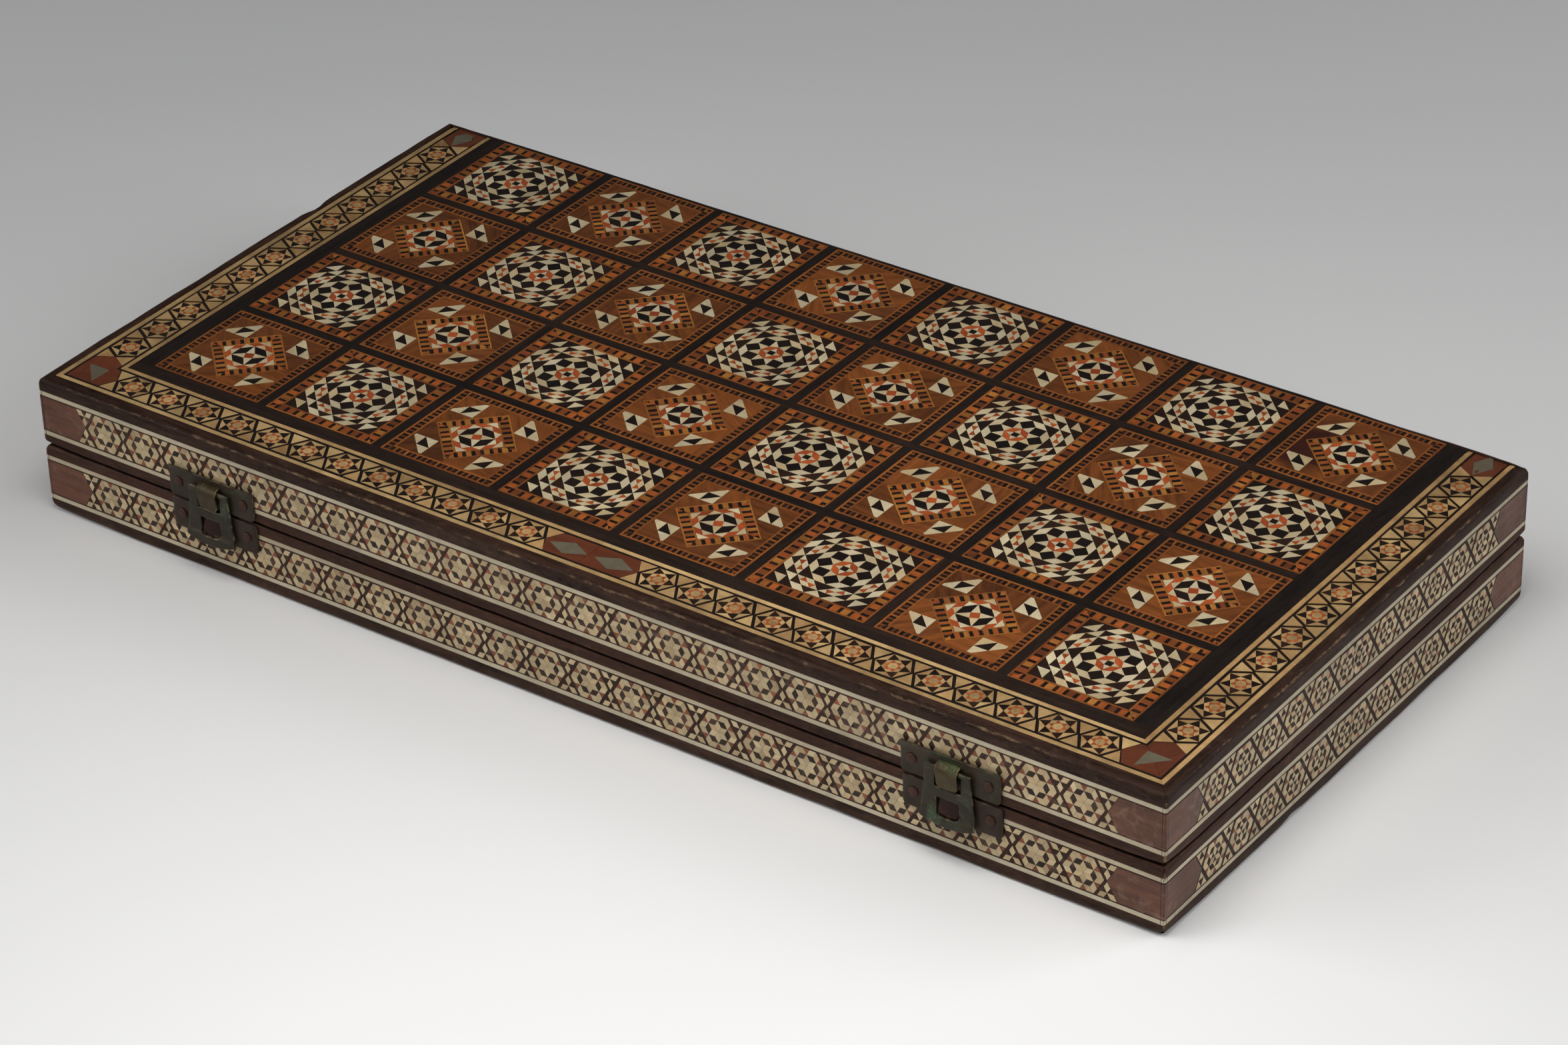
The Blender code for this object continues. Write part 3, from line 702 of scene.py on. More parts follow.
def hexagon_star(b, centre):
    """Unit of the top border: a hexagram in a hexagon, with a smaller red-tipped one inside."""
    outer, waist, red, heart = 7.35, 4.22, 3.62, 2.1
    for k in range(6):
        at = 60 * k
        tip = [polar(outer, at), polar(waist, at + 30), polar(waist, at - 30)]
        b.slip(moved(tip, *centre), "wenge" if b.random.random() < 0.7 else "ebony")
        rim = [polar(outer, at), polar(outer, at + 60), polar(waist, at + 30)]
        b.slip(moved(rim, *centre), "boxwood", angle=math.radians(at + 30))
        small = [polar(red, at), polar(heart, at + 30), polar(heart, at - 30)]
        b.slip(moved(small, *centre), "padauk")
        kite = [polar(waist, at + 30), polar(red, at + 60), polar(heart, at + 30), polar(red, at)]
        b.slip(moved(kite, *centre), "boxwood")
    tone = (b.random.random(), b.random.random(), 0.5)
    for k in range(3):
        at = 30 + 120 * k
        rhombus = [(0, 0), polar(heart, at), polar(heart, at + 60), polar(heart, at + 120)]
        b.slip(moved(rhombus, *centre), "boxwood", tone=tone)


def ring_unit(b, centre, edge, pieces):
    """The cream and red ring shared by both side bands, on a triangular lattice."""
    cream, red = pieces
    root = math.sqrt(3)
    far = math.sqrt(7)
    for k in range(6):
        at = 60 * k
        for sign in (1, -1):
            chevron = [
                polar(2 * edge, at),
                polar(root * edge, at + sign * 30),
                polar(far * edge, at + sign * 19.107),
                polar(3 * edge, at),
            ]
            b.slip(moved(chevron, *centre), cream)
        gap = [
            polar(root * edge, at + 30),
            polar(far * edge, at + 19.107),
            polar(far * edge, at + 40.893),
        ]
        b.slip(moved(gap, *centre), red)


def star_unit(b, centre, edge):
    """Unit of the long side bands: a six-rayed bone star in dark rhombi, in the ring."""
    root = math.sqrt(3)
    ring_unit(b, centre, edge, ("side_bone", "side_red"))
    for k in range(6):
        at = 60 * k
        ray = [(0, 0), polar(edge, at), polar(root * edge, at + 30), polar(edge, at + 60)]
        b.slip(moved(ray, *centre), "side_bone", angle=math.radians(at + 30))
        dark = [
            polar(edge, at),
            polar(root * edge, at + 30),
            polar(2 * edge, at),
            polar(root * edge, at - 30),
        ]
        b.slip(moved(dark, *centre), "side_rhomb")


def rhombus_fillers(b, u, edge, half):
    """Cream rhombi above and below the point where two long-side units meet."""
    rise = edge * math.sqrt(3) / 2
    left = -1.5 * edge
    shapes = (
        [(0, 0), (edge, 0), (1.5 * edge, -rise), (0.5 * edge, -rise)],
        [(2 * edge, 0), (3 * edge, 0), (2.5 * edge, -rise), (1.5 * edge, -rise)],
        [(1.5 * edge, -rise), (2 * edge, -2 * rise), (1.5 * edge, -3 * rise), (edge, -2 * rise)],
    )
    for shape in shapes:
        upper = moved(shape, u + left, half)
        b.slip(upper, "side_bone")
        b.slip([(x, -y) for x, y in upper], "side_bone")


def cube_unit(b, centre, edge, up):
    """Unit of the short side bands: three rhombi and three small triangles in a dark hexagon."""
    root = math.sqrt(3)
    ring_unit(b, centre, edge, ("side_bone", "side_red"))
    for k in range(3):
        at = 120 * k + (90 if up else 30)
        ray = [(0, 0), polar(edge, at - 30), polar(root * edge, at), polar(edge, at + 30)]
        b.slip(moved(ray, *centre), "side_bone")
        tip = [polar(edge, at + 30), polar(root * edge, at + 60), polar(edge, at + 90)]
        b.slip(moved(tip, *centre), "side_bone")
        inner = [(0, 0), polar(edge, at + 30), polar(edge, at + 90)]
        b.slip(moved(inner, *centre), "side_rhomb")


def triangle_fillers(b, u, side, half):
    """Small cream triangles around a dark one, above and below where two short-side units meet."""
    rise = side * math.sqrt(3) / 2
    corners = ((-side / 2, half), (side / 2, half), (0, half - rise))
    for i in range(3):
        here = corners[i]
        mids = [((here[0] + c[0]) / 2, (here[1] + c[1]) / 2) for c in corners if c != here]
        small = moved([here, *mids], u, 0)
        b.slip(small, "side_bone")
        b.slip([(x, -y) for x, y in small], "side_bone")


class Clipper:
    """Passes slips to a builder after cutting them at a straight seam."""

    def __init__(self, builder, normal, limit):
        self.builder = builder
        self.normal = normal
        self.limit = limit

    def slip(self, outline, species, **settings):
        kept = clipped(list(outline), self.normal, self.limit)
        if len(kept) > 2:
            self.builder.slip(kept, species, **settings)


# ---------------------------------------------------------------- chess squares


def brick_frame(b, outer, inner, pitch, cycle, share, skew=0.0):
    """A square ring of small bricks between two half-widths, mitred at the corners."""
    width = outer - inner
    for turn in range(4):
        u = -outer + b.random.uniform(-0.3, 0.3) * pitch
        index = b.random.randrange(len(cycle))
        while u < outer:
            step = pitch * share[index % len(share)] * b.random.uniform(0.9, 1.1)
            brick = [(u, -outer), (u + step, -outer), (u + step, -outer + width), (u, -outer + width)]
            for normal in ((1, 1), (-1, 1)):
                brick = clipped(brick, normal, 0) if len(brick) > 2 else brick
            if len(brick) > 2:
                angle = math.radians(90 * turn + 90 + skew)
                b.slip(turned(brick, 90 * turn + skew), cycle[index % len(cycle)], angle=angle)
            u += step
            index += 1


def square_line(b, outer, width, species, skew=0.0):
    """Four thin mitred strips along a square."""
    inner = outer - width
    for turn in range(4):
        strip = [(-outer, -outer), (outer, -outer), (inner, -inner), (-inner, -inner)]
        b.slip(turned(strip, 90 * turn + skew), species, gap=0.05, angle=math.radians(90 * turn + skew))


def star_square(b):
    """The mosaic square: an eight-fold rosette of bone, ebony and red wood in a brick frame."""
    half = 20.0
    b.slip(scaled(SQUARE, half + 0.1), "wenge", lift=-0.05)
    # Eight-fold lengths, with half as 1. All follow from the root of two and the cosine of 22.5 degrees
    s = 0.24264
    near = 1.8478 * s
    edge = 2.4142 * s
    far = 2.6131 * s
    reach = 0.8284
    side = 0.3431
    middle = 0.1716

    def both(outline, species, turns=4, mirror=True):
        for k in range(turns):
            shapes = [outline, flipped(outline)] if mirror else [outline]
            for shape in shapes:
                b.slip(scaled(turned(shape, 360 / turns * k), half), species)

    c = 0.067
    both(scaled(SQUARE, c), "ebony", 1, False)
    both([(-c, c), (c, c), (0, 0.198)], "bone", 4, False)
    both([(0, s), polar(s, 45), (s, 0), (0.2, 0), (c, c), (0, 0.2)], "padauk", 4, False)
    both([polar(s, 0), polar(s, 45), polar(near, 22.5)], "bone", 8, False)
    square = [polar(s, 0), polar(near, 22.5), polar(edge, 0), polar(near, -22.5)]
    both(square, "ebony", 8, False)
    rhombus = [polar(near, 22.5), polar(edge, 0), polar(far, 22.5), polar(edge, 45)]
    both(rhombus, "bone", 8, False)
    both([(-s, edge), (s, edge), (0, reach)], "wenge", 8, False)
    e1 = (side, 0.0)
    e2 = (s, -s)

    def bar(p, q):
        return (p * e1[0] + q * e2[0], reach + p * e1[1] + q * e2[1])

    bar_pieces = (
        (((0, 0), (0.5, 0), (0, 0.5)), "bone"),
        (((0.5, 0), (0.5, 0.5), (0, 0.5)), "padauk"),
        (((0.5, 0), (1, 0), (1, 0.5), (0.5, 0.5)), "bone"),
        (((0, 0.5), (0.5, 0.5), (0.5, 1), (0, 1)), "bone"),
        (((0.5, 0.5), (1, 0.5), (0.5, 1)), "padauk"),
        (((1, 0.5), (1, 1), (0.5, 1)), "bone"),
    )
    for corners, species in bar_pieces:
        both([bar(p, q) for p, q in corners], species)
    both([(-middle, 1), (middle, 1), (0, reach)], "bone", 4, False)
    both([(0, reach), (side, reach), (middle, 1)], "wenge")
    both([(middle, 1), (0.4142, 1), (edge, reach), (side, reach)], "bone")
    both([(side, reach), (edge, reach), (edge, edge)], "wenge")
    both([(edge, reach), (edge, edge), (reach, edge)], "bone", 4, False)
    corner = 0.725 + b.random.uniform(-0.015, 0.015)
    both([(corner, corner), (0.985, corner), (corner, 0.985)], "bone", 4, False)
    square_line(b, 25.0, 0.8, "line_wood")
    bricks = ("ebony", "orange_wood", "ebony", "ochre_wood", "wenge", "orange_wood", "ebony", "brown_wood")
    brick_frame(b, 24.2, 20.9, 4.2, bricks, (0.32, 0.68))
    square_line(b, 20.9, 0.85, "line_wood")


def lozenge_square(b):
    """The walnut square: a brick-framed lozenge with a pinwheel, and a bone motif in each corner."""
    half = 20.75
    rim = 0.91
    inner = 0.60

    def put(outline, species, **settings):
        b.slip(scaled(outline, half), species, **settings)

    for turn in range(4):
        patch = [(0, 0.5), (0, 1.0), (1.0, 1.0), (1.0, 0), (0.5, 0)]
        grain = math.radians(b.random.choice((0, 90, 35, -40)) + b.random.uniform(-8, 8))
        put(turned(patch, 90 * turn), "walnut", lift=-0.05, angle=grain, gap=0.05)
    b.slip(turned(scaled(SQUARE, half * inner / math.sqrt(2)), 45), "padauk", lift=-0.03)
    # Corner motifs
    near, legs, limit = 0.475, 0.565, 0.972
    for turn in range(4):
        n = near + b.random.uniform(-0.02, 0.01)
        size = legs + b.random.uniform(-0.015, 0.015)
        a, m = n, n + size / 2
        end = n + size
        triangles = (
            ([(a, a), (m, a), (a, m)], "bone"),
            ([(a, m), (m, m), (a, end)], "bone"),
            ([(m, a), (end, a), (m, m)], "bone"),
            ([(a, m), (m, a), (m, m)], "ebony"),
        )
        for shape, species in triangles:
            shape = clipped(clipped(shape, (1, 0), limit), (0, 1), limit)
            if len(shape) > 2:
                put(turned(shape, 90 * turn), species)
    # Lozenge frame
    side = rim * half / math.sqrt(2)
    inner_side = inner * half / math.sqrt(2)
    skew = 45 + b.random.uniform(-1.2, 1.2)
    square_line(b, side, 0.6, "ochre_wood", skew)
    bricks = ("ebony", "orange_wood", "wenge", "ochre_wood")
    brick_frame(b, side - 0.6, inner_side + 0.6, 2.6, bricks, (0.55, 0.7, 0.55, 0.8), skew)
    square_line(b, inner_side + 0.6, 0.6, "ochre_wood", skew)
    # Inside the lozenge
    k = 0.31
    o = k * (math.sqrt(2) - 1)
    axis = k * math.sqrt(2)
    for turn in range(4):
        at = 90 * turn
        put(turned([(0, 0.592), (-0.142, 0.45), (0.142, 0.45)], at), "bone")
        shape = [(0.15, 0.446), (0, 0.446), (o, k), (0.288, k)]
        put(turned(shape, at), "padauk")
        put(turned(flipped(shape), at), "padauk")
        put(turned([(-o, k), (o, k), (0, axis)], at), "bone")
        put(turned([(o, k), (k, o), (k, k)], at), "bone")
        put(turned([(k, o), (o, k), (-o, k), (0.04, 0.11)], at), "ebony")
        put(turned([(-o, k), (-0.11, 0.04), (0.04, 0.11)], at), "bone")
    put([(0.04, 0.11), (-0.11, 0.04), (-0.04, -0.11), (0.11, -0.04)], "padauk")
    # Brick frame around the square
    square_line(b, 25.0, 0.9, "line_wood")
    brick_frame(b, 24.1, 21.5, 2.4, ("ebony", "brown_wood", "wenge", "line_wood"), (0.58, 0.42))
    square_line(b, 21.5, 0.75, "line_wood")


def outer_face(half):
    """Height of a half's outer face and its outward direction."""
    return (HEIGHT, 1) if half == "upper" else (0.0, -1)


DRAWN = 50  # width that the squares are drawn at, before they are brought to TILE


def make_squares(half):
    height, out = outer_face(half)
    for row in range(ROWS):
        for column in range(COLUMNS):
            plain = (row + column + (half == "lower")) % 2 == 0
            kind = "lozenge" if plain else "star"
            centre = (GRID_X + TILE / 2 + PITCH * column, GRID_Y + TILE / 2 + PITCH * row)
            b = Builder(f"{half}_{kind}_square_{row}_{column}", (*centre, height), out=(0, 0, out))
            b.slip(scaled(SQUARE, DRAWN / 2), "glue", lift=-0.09, gap=-0.2)
            b.random.seed(f"{half}{row}{column}")
            if plain:
                lozenge_square(b)
            else:
                star_square(b)
            lean = math.radians(b.random.uniform(-0.35, 0.35)) + (math.pi / 2) * b.random.randrange(4)
            c, s = math.cos(lean), math.sin(lean)
            grow = TILE / DRAWN
            b.points = [((u * c - v * s) * grow, (u * s + v * c) * grow, h) for u, v, h in b.points]
            installed(b.build(), HALVES[half], "chess_marquetry")


def make_field_strips(half):
    """The dark strips between and around the squares, on their backing sheet."""
    height, out = outer_face(half)
    b = Builder(f"{half}_field_strips", (0, 0, height), out=(0, 0, out))
    reach = LENGTH / 2 - EDGE_STRIP["left"] - BORDER
    front = -DEPTH / 2 + EDGE_STRIP["front"] + BORDER
    top = DEPTH / 2 - EDGE_STRIP["back"]
    b.slip([(-reach, front), (reach, front), (reach, top), (-reach, top)], "glue", lift=-0.6, gap=0.0)
    gap = PITCH - TILE
    right = GRID_X + COLUMNS * PITCH - gap
    b.ribbon([(u, front, GRID_Y) for u in stations_between(-reach, reach, 30)], "strip", depth=STRIP_DEPTH)
    for low, high in ((top, top + 1.3), (top + 1.3, top + 2.3), (top + 2.3, top + 2.98)):
        stations = [(u, low, high) for u in stations_between(-reach, reach, 12)]
        b.ribbon(stations, "strip", depth=STRIP_DEPTH, tone=(0.5,) * 3)
    for left, end in ((-reach, GRID_X), (right, reach)):
        b.ribbon([(left, GRID_Y, top), (end, GRID_Y, top)], "strip", depth=STRIP_DEPTH, angle=math.pi / 2)
    for row in range(1, ROWS):
        low = GRID_Y + PITCH * row - gap
        stations = [(u, low, low + gap) for u in stations_between(GRID_X, right, 30)]
        b.ribbon(stations, "strip", depth=STRIP_DEPTH)
    for column in range(1, COLUMNS):
        left = GRID_X + PITCH * column - gap
        for row in range(ROWS):
            low = GRID_Y + PITCH * row
            high = min(low + TILE, top)
            stations = [(left, low, high), (left + gap, low, high)]
            b.ribbon(stations, "strip", depth=STRIP_DEPTH, angle=math.pi / 2)
    installed(b.build(half), HALVES[half], "dark_walnut", f"{half}_chess_field")


# ---------------------------------------------------------------- top borders

UNITS = 12  # hexagons in each run
CENTRE_BLOCK = (-19.1, 22.3)  # points of the block in the middle of the front border
CENTRE_JOINT = 0.4
CORNER_TIP = 223.0  # points of the corner blocks
SIDE_TIP = -96.7
BACK_TIP = 107.6  # point of the block by the hinges
SHOULDER = 3.7


def shell_lozenge(b, u, v, along, across):
    left = b.random.uniform(-0.2, 0.2)
    right = b.random.uniform(-0.2, 0.2)
    shape = [(-along, left), (0, -across), (along, right), (0.2, across)]
    b.slip(moved(shape, u, v), "grey_shell", lift=0.02, gap=0.0, level=0.002)


def border_strip(b, low_v, high_v, ends):
    """A long pale line between two heights, mitred where it meets the next border."""
    (low_a, high_a), (low_b, high_b) = ends(low_v), ends(high_v)
    first = max(low_a, low_b) + 1
    last = min(high_a, high_b) - 1
    inside = [u for u in stations_between(-240, 240, 8) if first < u < last]
    drift = [wander(u, low_v + len(b.name), 0.22) for u in inside]
    near = [(u, low_v + d) for u, d in zip(inside, drift)]
    far = [(u, high_v + d) for u, d in zip(inside, drift)][::-1]
    outline = [(low_a, low_v), *near, (high_a, low_v), (high_b, high_v), *far, (low_b, high_v)]
    b.slip(outline, "boxwood", angle=0.0, gap=0.04, level=0.0)


def filler(b, u, band):
    """The pale triangles above and below the point where two hexagons meet."""
    for side in (1, -1):
        wide = 3.5 + b.random.uniform(-0.2, 0.25)
        triangle = [(-wide, side * band), (wide, side * band), (b.random.uniform(-0.2, 0.2), side * 0.45)]
        angle = math.radians(b.random.uniform(50, 70) * side)
        b.slip(moved(triangle, u, 0), "boxwood", angle=angle, lift=0.004, level=0.004)


def hexagon_run(b, start, end, band):
    pitch = (end - start) / UNITS
    for i in range(UNITS):
        hexagon_star(b, (start + pitch * (i + 0.5), wander(start + pitch * i, 4, 0.2)))
    for i in range(UNITS + 1):
        filler(b, start + pitch * i, band)


def make_border(half, side):
    """One border strip. u runs along it, and v goes from its middle line inwards."""
    height, out = outer_face(half)
    band = TOP_BAND / 2
    outer = band + THIN + OUTER_LINE
    inner = band + THIN + INNER_LINE
    front = side == "front"
    run_x = LENGTH / 2 - EDGE_STRIP["left"]
    run_y = DEPTH / 2 - EDGE_STRIP["front"]
    back = DEPTH / 2 - 0.05
    if front:
        frame_of = ((0, -run_y + outer, height), (1, 0, 0), (0, 1, 0))
    else:
        sign = ENDS[side]
        frame_of = ((sign * (run_x - outer), 0, height), (0, 1, 0), (-sign, 0, 0))
    b = Builder(f"{half}_{side}_border_inlay", *frame_of, (0, 0, out))

    def ends(v):
        """Where a line at v ends on the corner mitre."""
        if front:
            return v + outer - run_x, run_x - v - outer
        return v + outer - run_y, back

    (low_a, high_a), (low_b, high_b) = ends(-outer), ends(inner)
    ground = [(low_a, -outer), (high_a, -outer), (high_b, inner), (low_b, inner)]
    b.slip(ground, "ebony", lift=-0.03, gap=0.0, angle=0)
    if front:
        cuts = (-run_x, CENTRE_JOINT, run_x)
        for low, high in zip(cuts, cuts[1:]):
            for v0, v1 in ((-outer, -band - THIN), (band + THIN, inner)):
                border_strip(b, v0, v1, lambda v: (max(ends(v)[0], low), min(ends(v)[1], high)))
        hexagon_run(b, -CORNER_TIP, CENTRE_BLOCK[0], band)
        hexagon_run(b, CENTRE_BLOCK[1], CORNER_TIP, band)
        for tip, sign in zip(CENTRE_BLOCK, (1, -1)):
            shoulder = tip + sign * SHOULDER
            joint = [(CENTRE_JOINT, -band), (CENTRE_JOINT, band)]
            point = [(shoulder, band), (tip, 0), (shoulder, -band)]
            b.slip(joint + point, "block", angle=0.1 * sign, gap=0.14)
        shell_lozenge(b, -8.2, -0.6, 8.4, 4.1)
        shell_lozenge(b, 11.6, -0.2, 8.6, 4.15)
        for sign in (-1, 1):
            corner = run_x - outer
            near, far = corner - band, corner + band
            along = [(far, -band), (near, band), (near - 2.2, band), (CORNER_TIP, 0), (near - 2.2, -band)]
            b.slip([(sign * u, v) for u, v in along], "block", angle=0.3 * sign, gap=0.1)
            up = run_y - outer + SIDE_TIP
            aside = [(near, band), (far, -band), (far, up - SHOULDER), (corner, up), (near, up - SHOULDER)]
            b.slip([(sign * u, v) for u, v in aside], "block", angle=1.2 * sign, gap=0.1)
            shell = [(near + 1.6, band - 2.3), (near + 11.4, band - 2.4), (near + 2.0, -band + 1.4)]
            shell = [(sign * u, v) for u, v in shell]
            b.slip(shell, "grey_shell", lift=0.02, gap=0.0, angle=0.4, level=0.002)
    else:
        for v0, v1 in ((-outer, -band - THIN), (band + THIN, inner)):
            border_strip(b, v0, v1, ends)
        hexagon_run(b, SIDE_TIP, BACK_TIP, band)
        shoulder = BACK_TIP + SHOULDER
        block = [(BACK_TIP, 0), (shoulder, -band), (back, -band), (back, band), (shoulder, band)]
        b.slip(block, "block", angle=0.1, gap=0.06)
        shell_lozenge(b, BACK_TIP + 8.6, 0.0, 8.0, 4.0)
    installed(b.build(half), HALVES[half], "border_marquetry", f"{half}_{side}_border")


# ---------------------------------------------------------------- side bandings


def side_frame(side, height=0):
    """The middle of a side at a height, the way along it from its left end, and the way out."""
    out = {"front": (0, -1, 0), "right": (1, 0, 0), "back": (0, 1, 0), "left": (-1, 0, 0)}[side]
    origin = (out[0] * LENGTH / 2, out[1] * DEPTH / 2, height)
    return origin, (-out[1], out[0], 0), out


def make_banding(half, side):
    """Side marquetry. u runs along the side from its left end, v is up, both seen from outside."""
    low_z = PANEL if half == "lower" else HEIGHT - PANEL - SIDE_BAND - 2 * SIDE_THIN - 2 * SIDE_LINE
    band = SIDE_BAND / 2
    middle_z = low_z + SIDE_LINE + SIDE_THIN + band
    long_side = side in ("front", "back")
    run = (LENGTH if long_side else DEPTH) / 2
    origin, along, out = side_frame(side, middle_z)
    b = Builder(f"{half}_{side}_banding_inlay", origin, along, (0, 0, 1), out)
    total = band + SIDE_THIN + SIDE_LINE
    ends = stations_between(-run, run, 6)
    b.ribbon([(u, -total, total) for u in ends], "side_dark", lift=-0.03, depth=1.5)
    for sign in (-1, 1):
        stations = []
        for u in ends:
            drift = wander(u, sign * 5 + len(side) + len(half), 0.16, 45)
            edge = sign * (band + SIDE_THIN)
            far = sign * (total - 0.05)
            stations.append((u, min(edge + drift, far), max(edge + drift, far)))
        b.ribbon(stations, "side_line")
    if long_side:
        units, pitch = 24, 18.95
        edge = 2.76
        first = -units / 2 * pitch
        for i in range(units):
            u = first + pitch * (i + 0.5)
            star_unit(b, (u + wander(u, 2, 0.25), wander(u, 9, 0.15)), edge)
        for i in range(units + 1):
            rhombus_fillers(b, first + pitch * i, 2.62, band)
        tip_low, tip_high = first, -first
    else:
        edge = 2.56
        pitch = 17.4
        tip_low = -run + 23.6 if side == "right" else -run + 21.0
        tip_high = run - 25.0 if side == "right" else run - 23.6
        seam = -1.0 if side == "right" else 1.0
        for sign, start in ((1, tip_low), (-1, tip_high)):
            cutter = Clipper(b, (sign, 0), sign * seam)
            for i in range(7):
                u = start + sign * pitch * (i + 0.5)
                cube_unit(cutter, (u, 0), edge, i % 2 == 0)
                triangle_fillers(cutter, start + sign * pitch * i, 6.9, band)
    block_end(b, -run, tip_low, band)
    block_end(b, run, tip_high, band)
    installed(b.build(half), HALVES[half], "side_marquetry", f"{half}_{side}_banding")


def block_end(b, end, tip, band):
    """The plain red-brown block that closes a band, pointed towards the pattern."""
    sign = 1 if tip > end else -1
    shoulder = tip - sign * BAND_POINT
    stations = [(end + sign * p, -band, band) for p in CORNER_STEPS]
    stations += [(shoulder, -band, band), (tip, -0.03, 0.03)]
    b.ribbon(stations, "side_block", lift=0.004)


# ---------------------------------------------------------------- carcass


def bar_profile(side_edges):
    """Closed (depth, height) profile from points given around it, with small steps by its arrises."""
    points = []
    for (t0, h0), (t1, h1) in zip(side_edges, side_edges[1:] + side_edges[:1]):
        length = math.hypot(t1 - t0, h1 - h0)
        marks = {0.0}
        for f in (0.2, 0.45, 0.75, 1.1, 1.6, 2.3):
            if f < length:
                marks |= {f, length - f}
        for mark in sorted(m for m in marks if m < length - 1e-6):
            k = mark / length
            points.append((t0 + (t1 - t0) * k, h0 + (h1 - h0) * k))
    return points


def make_bar(name, half, side, profile, species):
    """A mitred bar along one side of the carcass, from a profile of (depth, height) points."""
    long_side = side in ("front", "back")
    run = (LENGTH if long_side else DEPTH) / 2
    origin, along, out = side_frame(side)
    inwards = (-out[0], -out[1], 0)
    b = Builder(name, origin, along, inwards, (0, 0, 1))
    b.turns_over = False
    fine = (0.02, 0.2, 0.4, 0.7, 1.0, 1.4, 2.0, 3.0, 5.0, 8.0)
    ends = stations_between(-run, run, 3.5, fine)
    points = []
    for u in ends:
        for depth, height in profile:
            reach = (abs(u) - fine[0]) * (run - depth) / run
            z = height if half == "lower" else HEIGHT - height
            points.append((math.copysign(reach, u), depth, z))
    count = len(profile)
    faces = [list(range(count))]
    for k in range(len(ends) - 1):
        for i in range(count):
            j = (i + 1) % count
            faces.append([k * count + i, (k + 1) * count + i, (k + 1) * count + j, k * count + j])
    faces.append(list(range(len(points) - 1, len(points) - 1 - count, -1)))
    b.add(points, faces, species, 0.0)
    obj = b.build(half, smooth=True)
    bm = bmesh.new()
    bm.from_mesh(obj.data)
    bmesh.ops.recalc_face_normals(bm, faces=bm.faces)
    bm.to_mesh(obj.data)
    bm.free()
    return obj


def make_panel(half):
    """The panel: a board with a dark edge strip around it, in four mitred runs."""
    for side in SIDES:
        edge = EDGE_STRIP[side] - 0.03
        top = 0.07 if side == "back" else 0.0
        profile = bar_profile([(0, PANEL), (0, top), (edge, top), (edge, 1.6), (20, 1.6), (20, PANEL)])
        installed(make_bar(f"{half}_panel_{side}", half, side, profile, "edge"), HALVES[half], "dark_walnut")
    board = Builder(f"{half}_panel_board")
    low = 1.7 if half == "lower" else HEIGHT - PANEL
    reach_x, reach_y = LENGTH / 2 - 15, DEPTH / 2 - 15
    outline = [(-reach_x, -reach_y), (reach_x, -reach_y), (reach_x, reach_y), (-reach_x, reach_y)]
    points = [(x, y, low + (PANEL - 1.7)) for x, y in outline] + [(x, y, low) for x, y in outline]
    faces = [[0, 1, 2, 3], [7, 6, 5, 4], [0, 4, 5, 1], [1, 5, 6, 2], [2, 6, 7, 3], [3, 7, 4, 0]]
    board.add(points, faces, "strip", 0.0)
    installed(board.build(), HALVES[half], "dark_walnut", f"{half}_panel")


def make_rails(half):
    top = PANEL + 2 * (SIDE_LINE + SIDE_THIN) + SIDE_BAND
    for side in SIDES:
        seat = [(BAND_SEAT, PANEL), (BAND_SEAT, top), (0, top), (0, HALF_HEIGHT)]
        profile = bar_profile([*seat, (RAIL, HALF_HEIGHT), (RAIL, PANEL)])
        obj = make_bar(f"{half}_{side}_rail_wood", half, side, profile, "carcass")
        if side == "back":
            cut_hinge_room(obj, half)
        installed(obj, HALVES[half], "dark_walnut", f"{half}_{side}_rail")


def cut_hinge_room(obj, half):
    """Cuts the same seats for the hinges that the CAD rail has."""
    rim = HALF_HEIGHT if half == "lower" else HEIGHT - HALF_HEIGHT
    inward = -1 if half == "lower" else 1
    leaf = Vector((38.4, 20.0, 3.0))
    leaf_seat = 1.35
    knuckle = {"radius1": 3.4 * MM, "radius2": 3.4 * MM, "depth": 41 * MM, "segments": 32}
    for sign in (-1, 1):
        bm = bmesh.new()
        centre = Vector((sign * HINGE_X, DEPTH / 2, rim + inward * (leaf_seat - leaf.z / 2)))
        matrix = Matrix.Translation(centre * MM) @ Matrix.Diagonal((*(leaf * MM), 1))
        bmesh.ops.create_cube(bm, size=1, matrix=matrix)
        subtract(obj, bm)
        bm = bmesh.new()
        centre = Vector((sign * HINGE_X, DEPTH / 2 + 0.5, HEIGHT / 2))
        matrix = Matrix.Translation(centre * MM) @ Matrix.Rotation(math.pi / 2, 4, "Y")
        bmesh.ops.create_cone(bm, cap_ends=True, matrix=matrix, **knuckle)
        subtract(obj, bm)


def subtract(obj, bm):
    mesh = bpy.data.meshes.new("cutter")
    bm.to_mesh(mesh)
    bm.free()
    mesh.materials.append(obj.data.materials[0])
    tool = bpy.data.objects.new("cutter", mesh)
    bpy.context.scene.collection.objects.link(tool)
    modifier = obj.modifiers.new("cut", "BOOLEAN")
    modifier.object = tool
    modifier.operation = "DIFFERENCE"
    modifier.solver = "EXACT"
    bpy.context.view_layer.update()
    graph = bpy.context.evaluated_depsgraph_get()
    result = bpy.data.meshes.new_from_object(obj.evaluated_get(graph))
    obj.modifiers.clear()
    obj.data = result
    bpy.data.objects.remove(tool)


# ---------------------------------------------------------------- trays


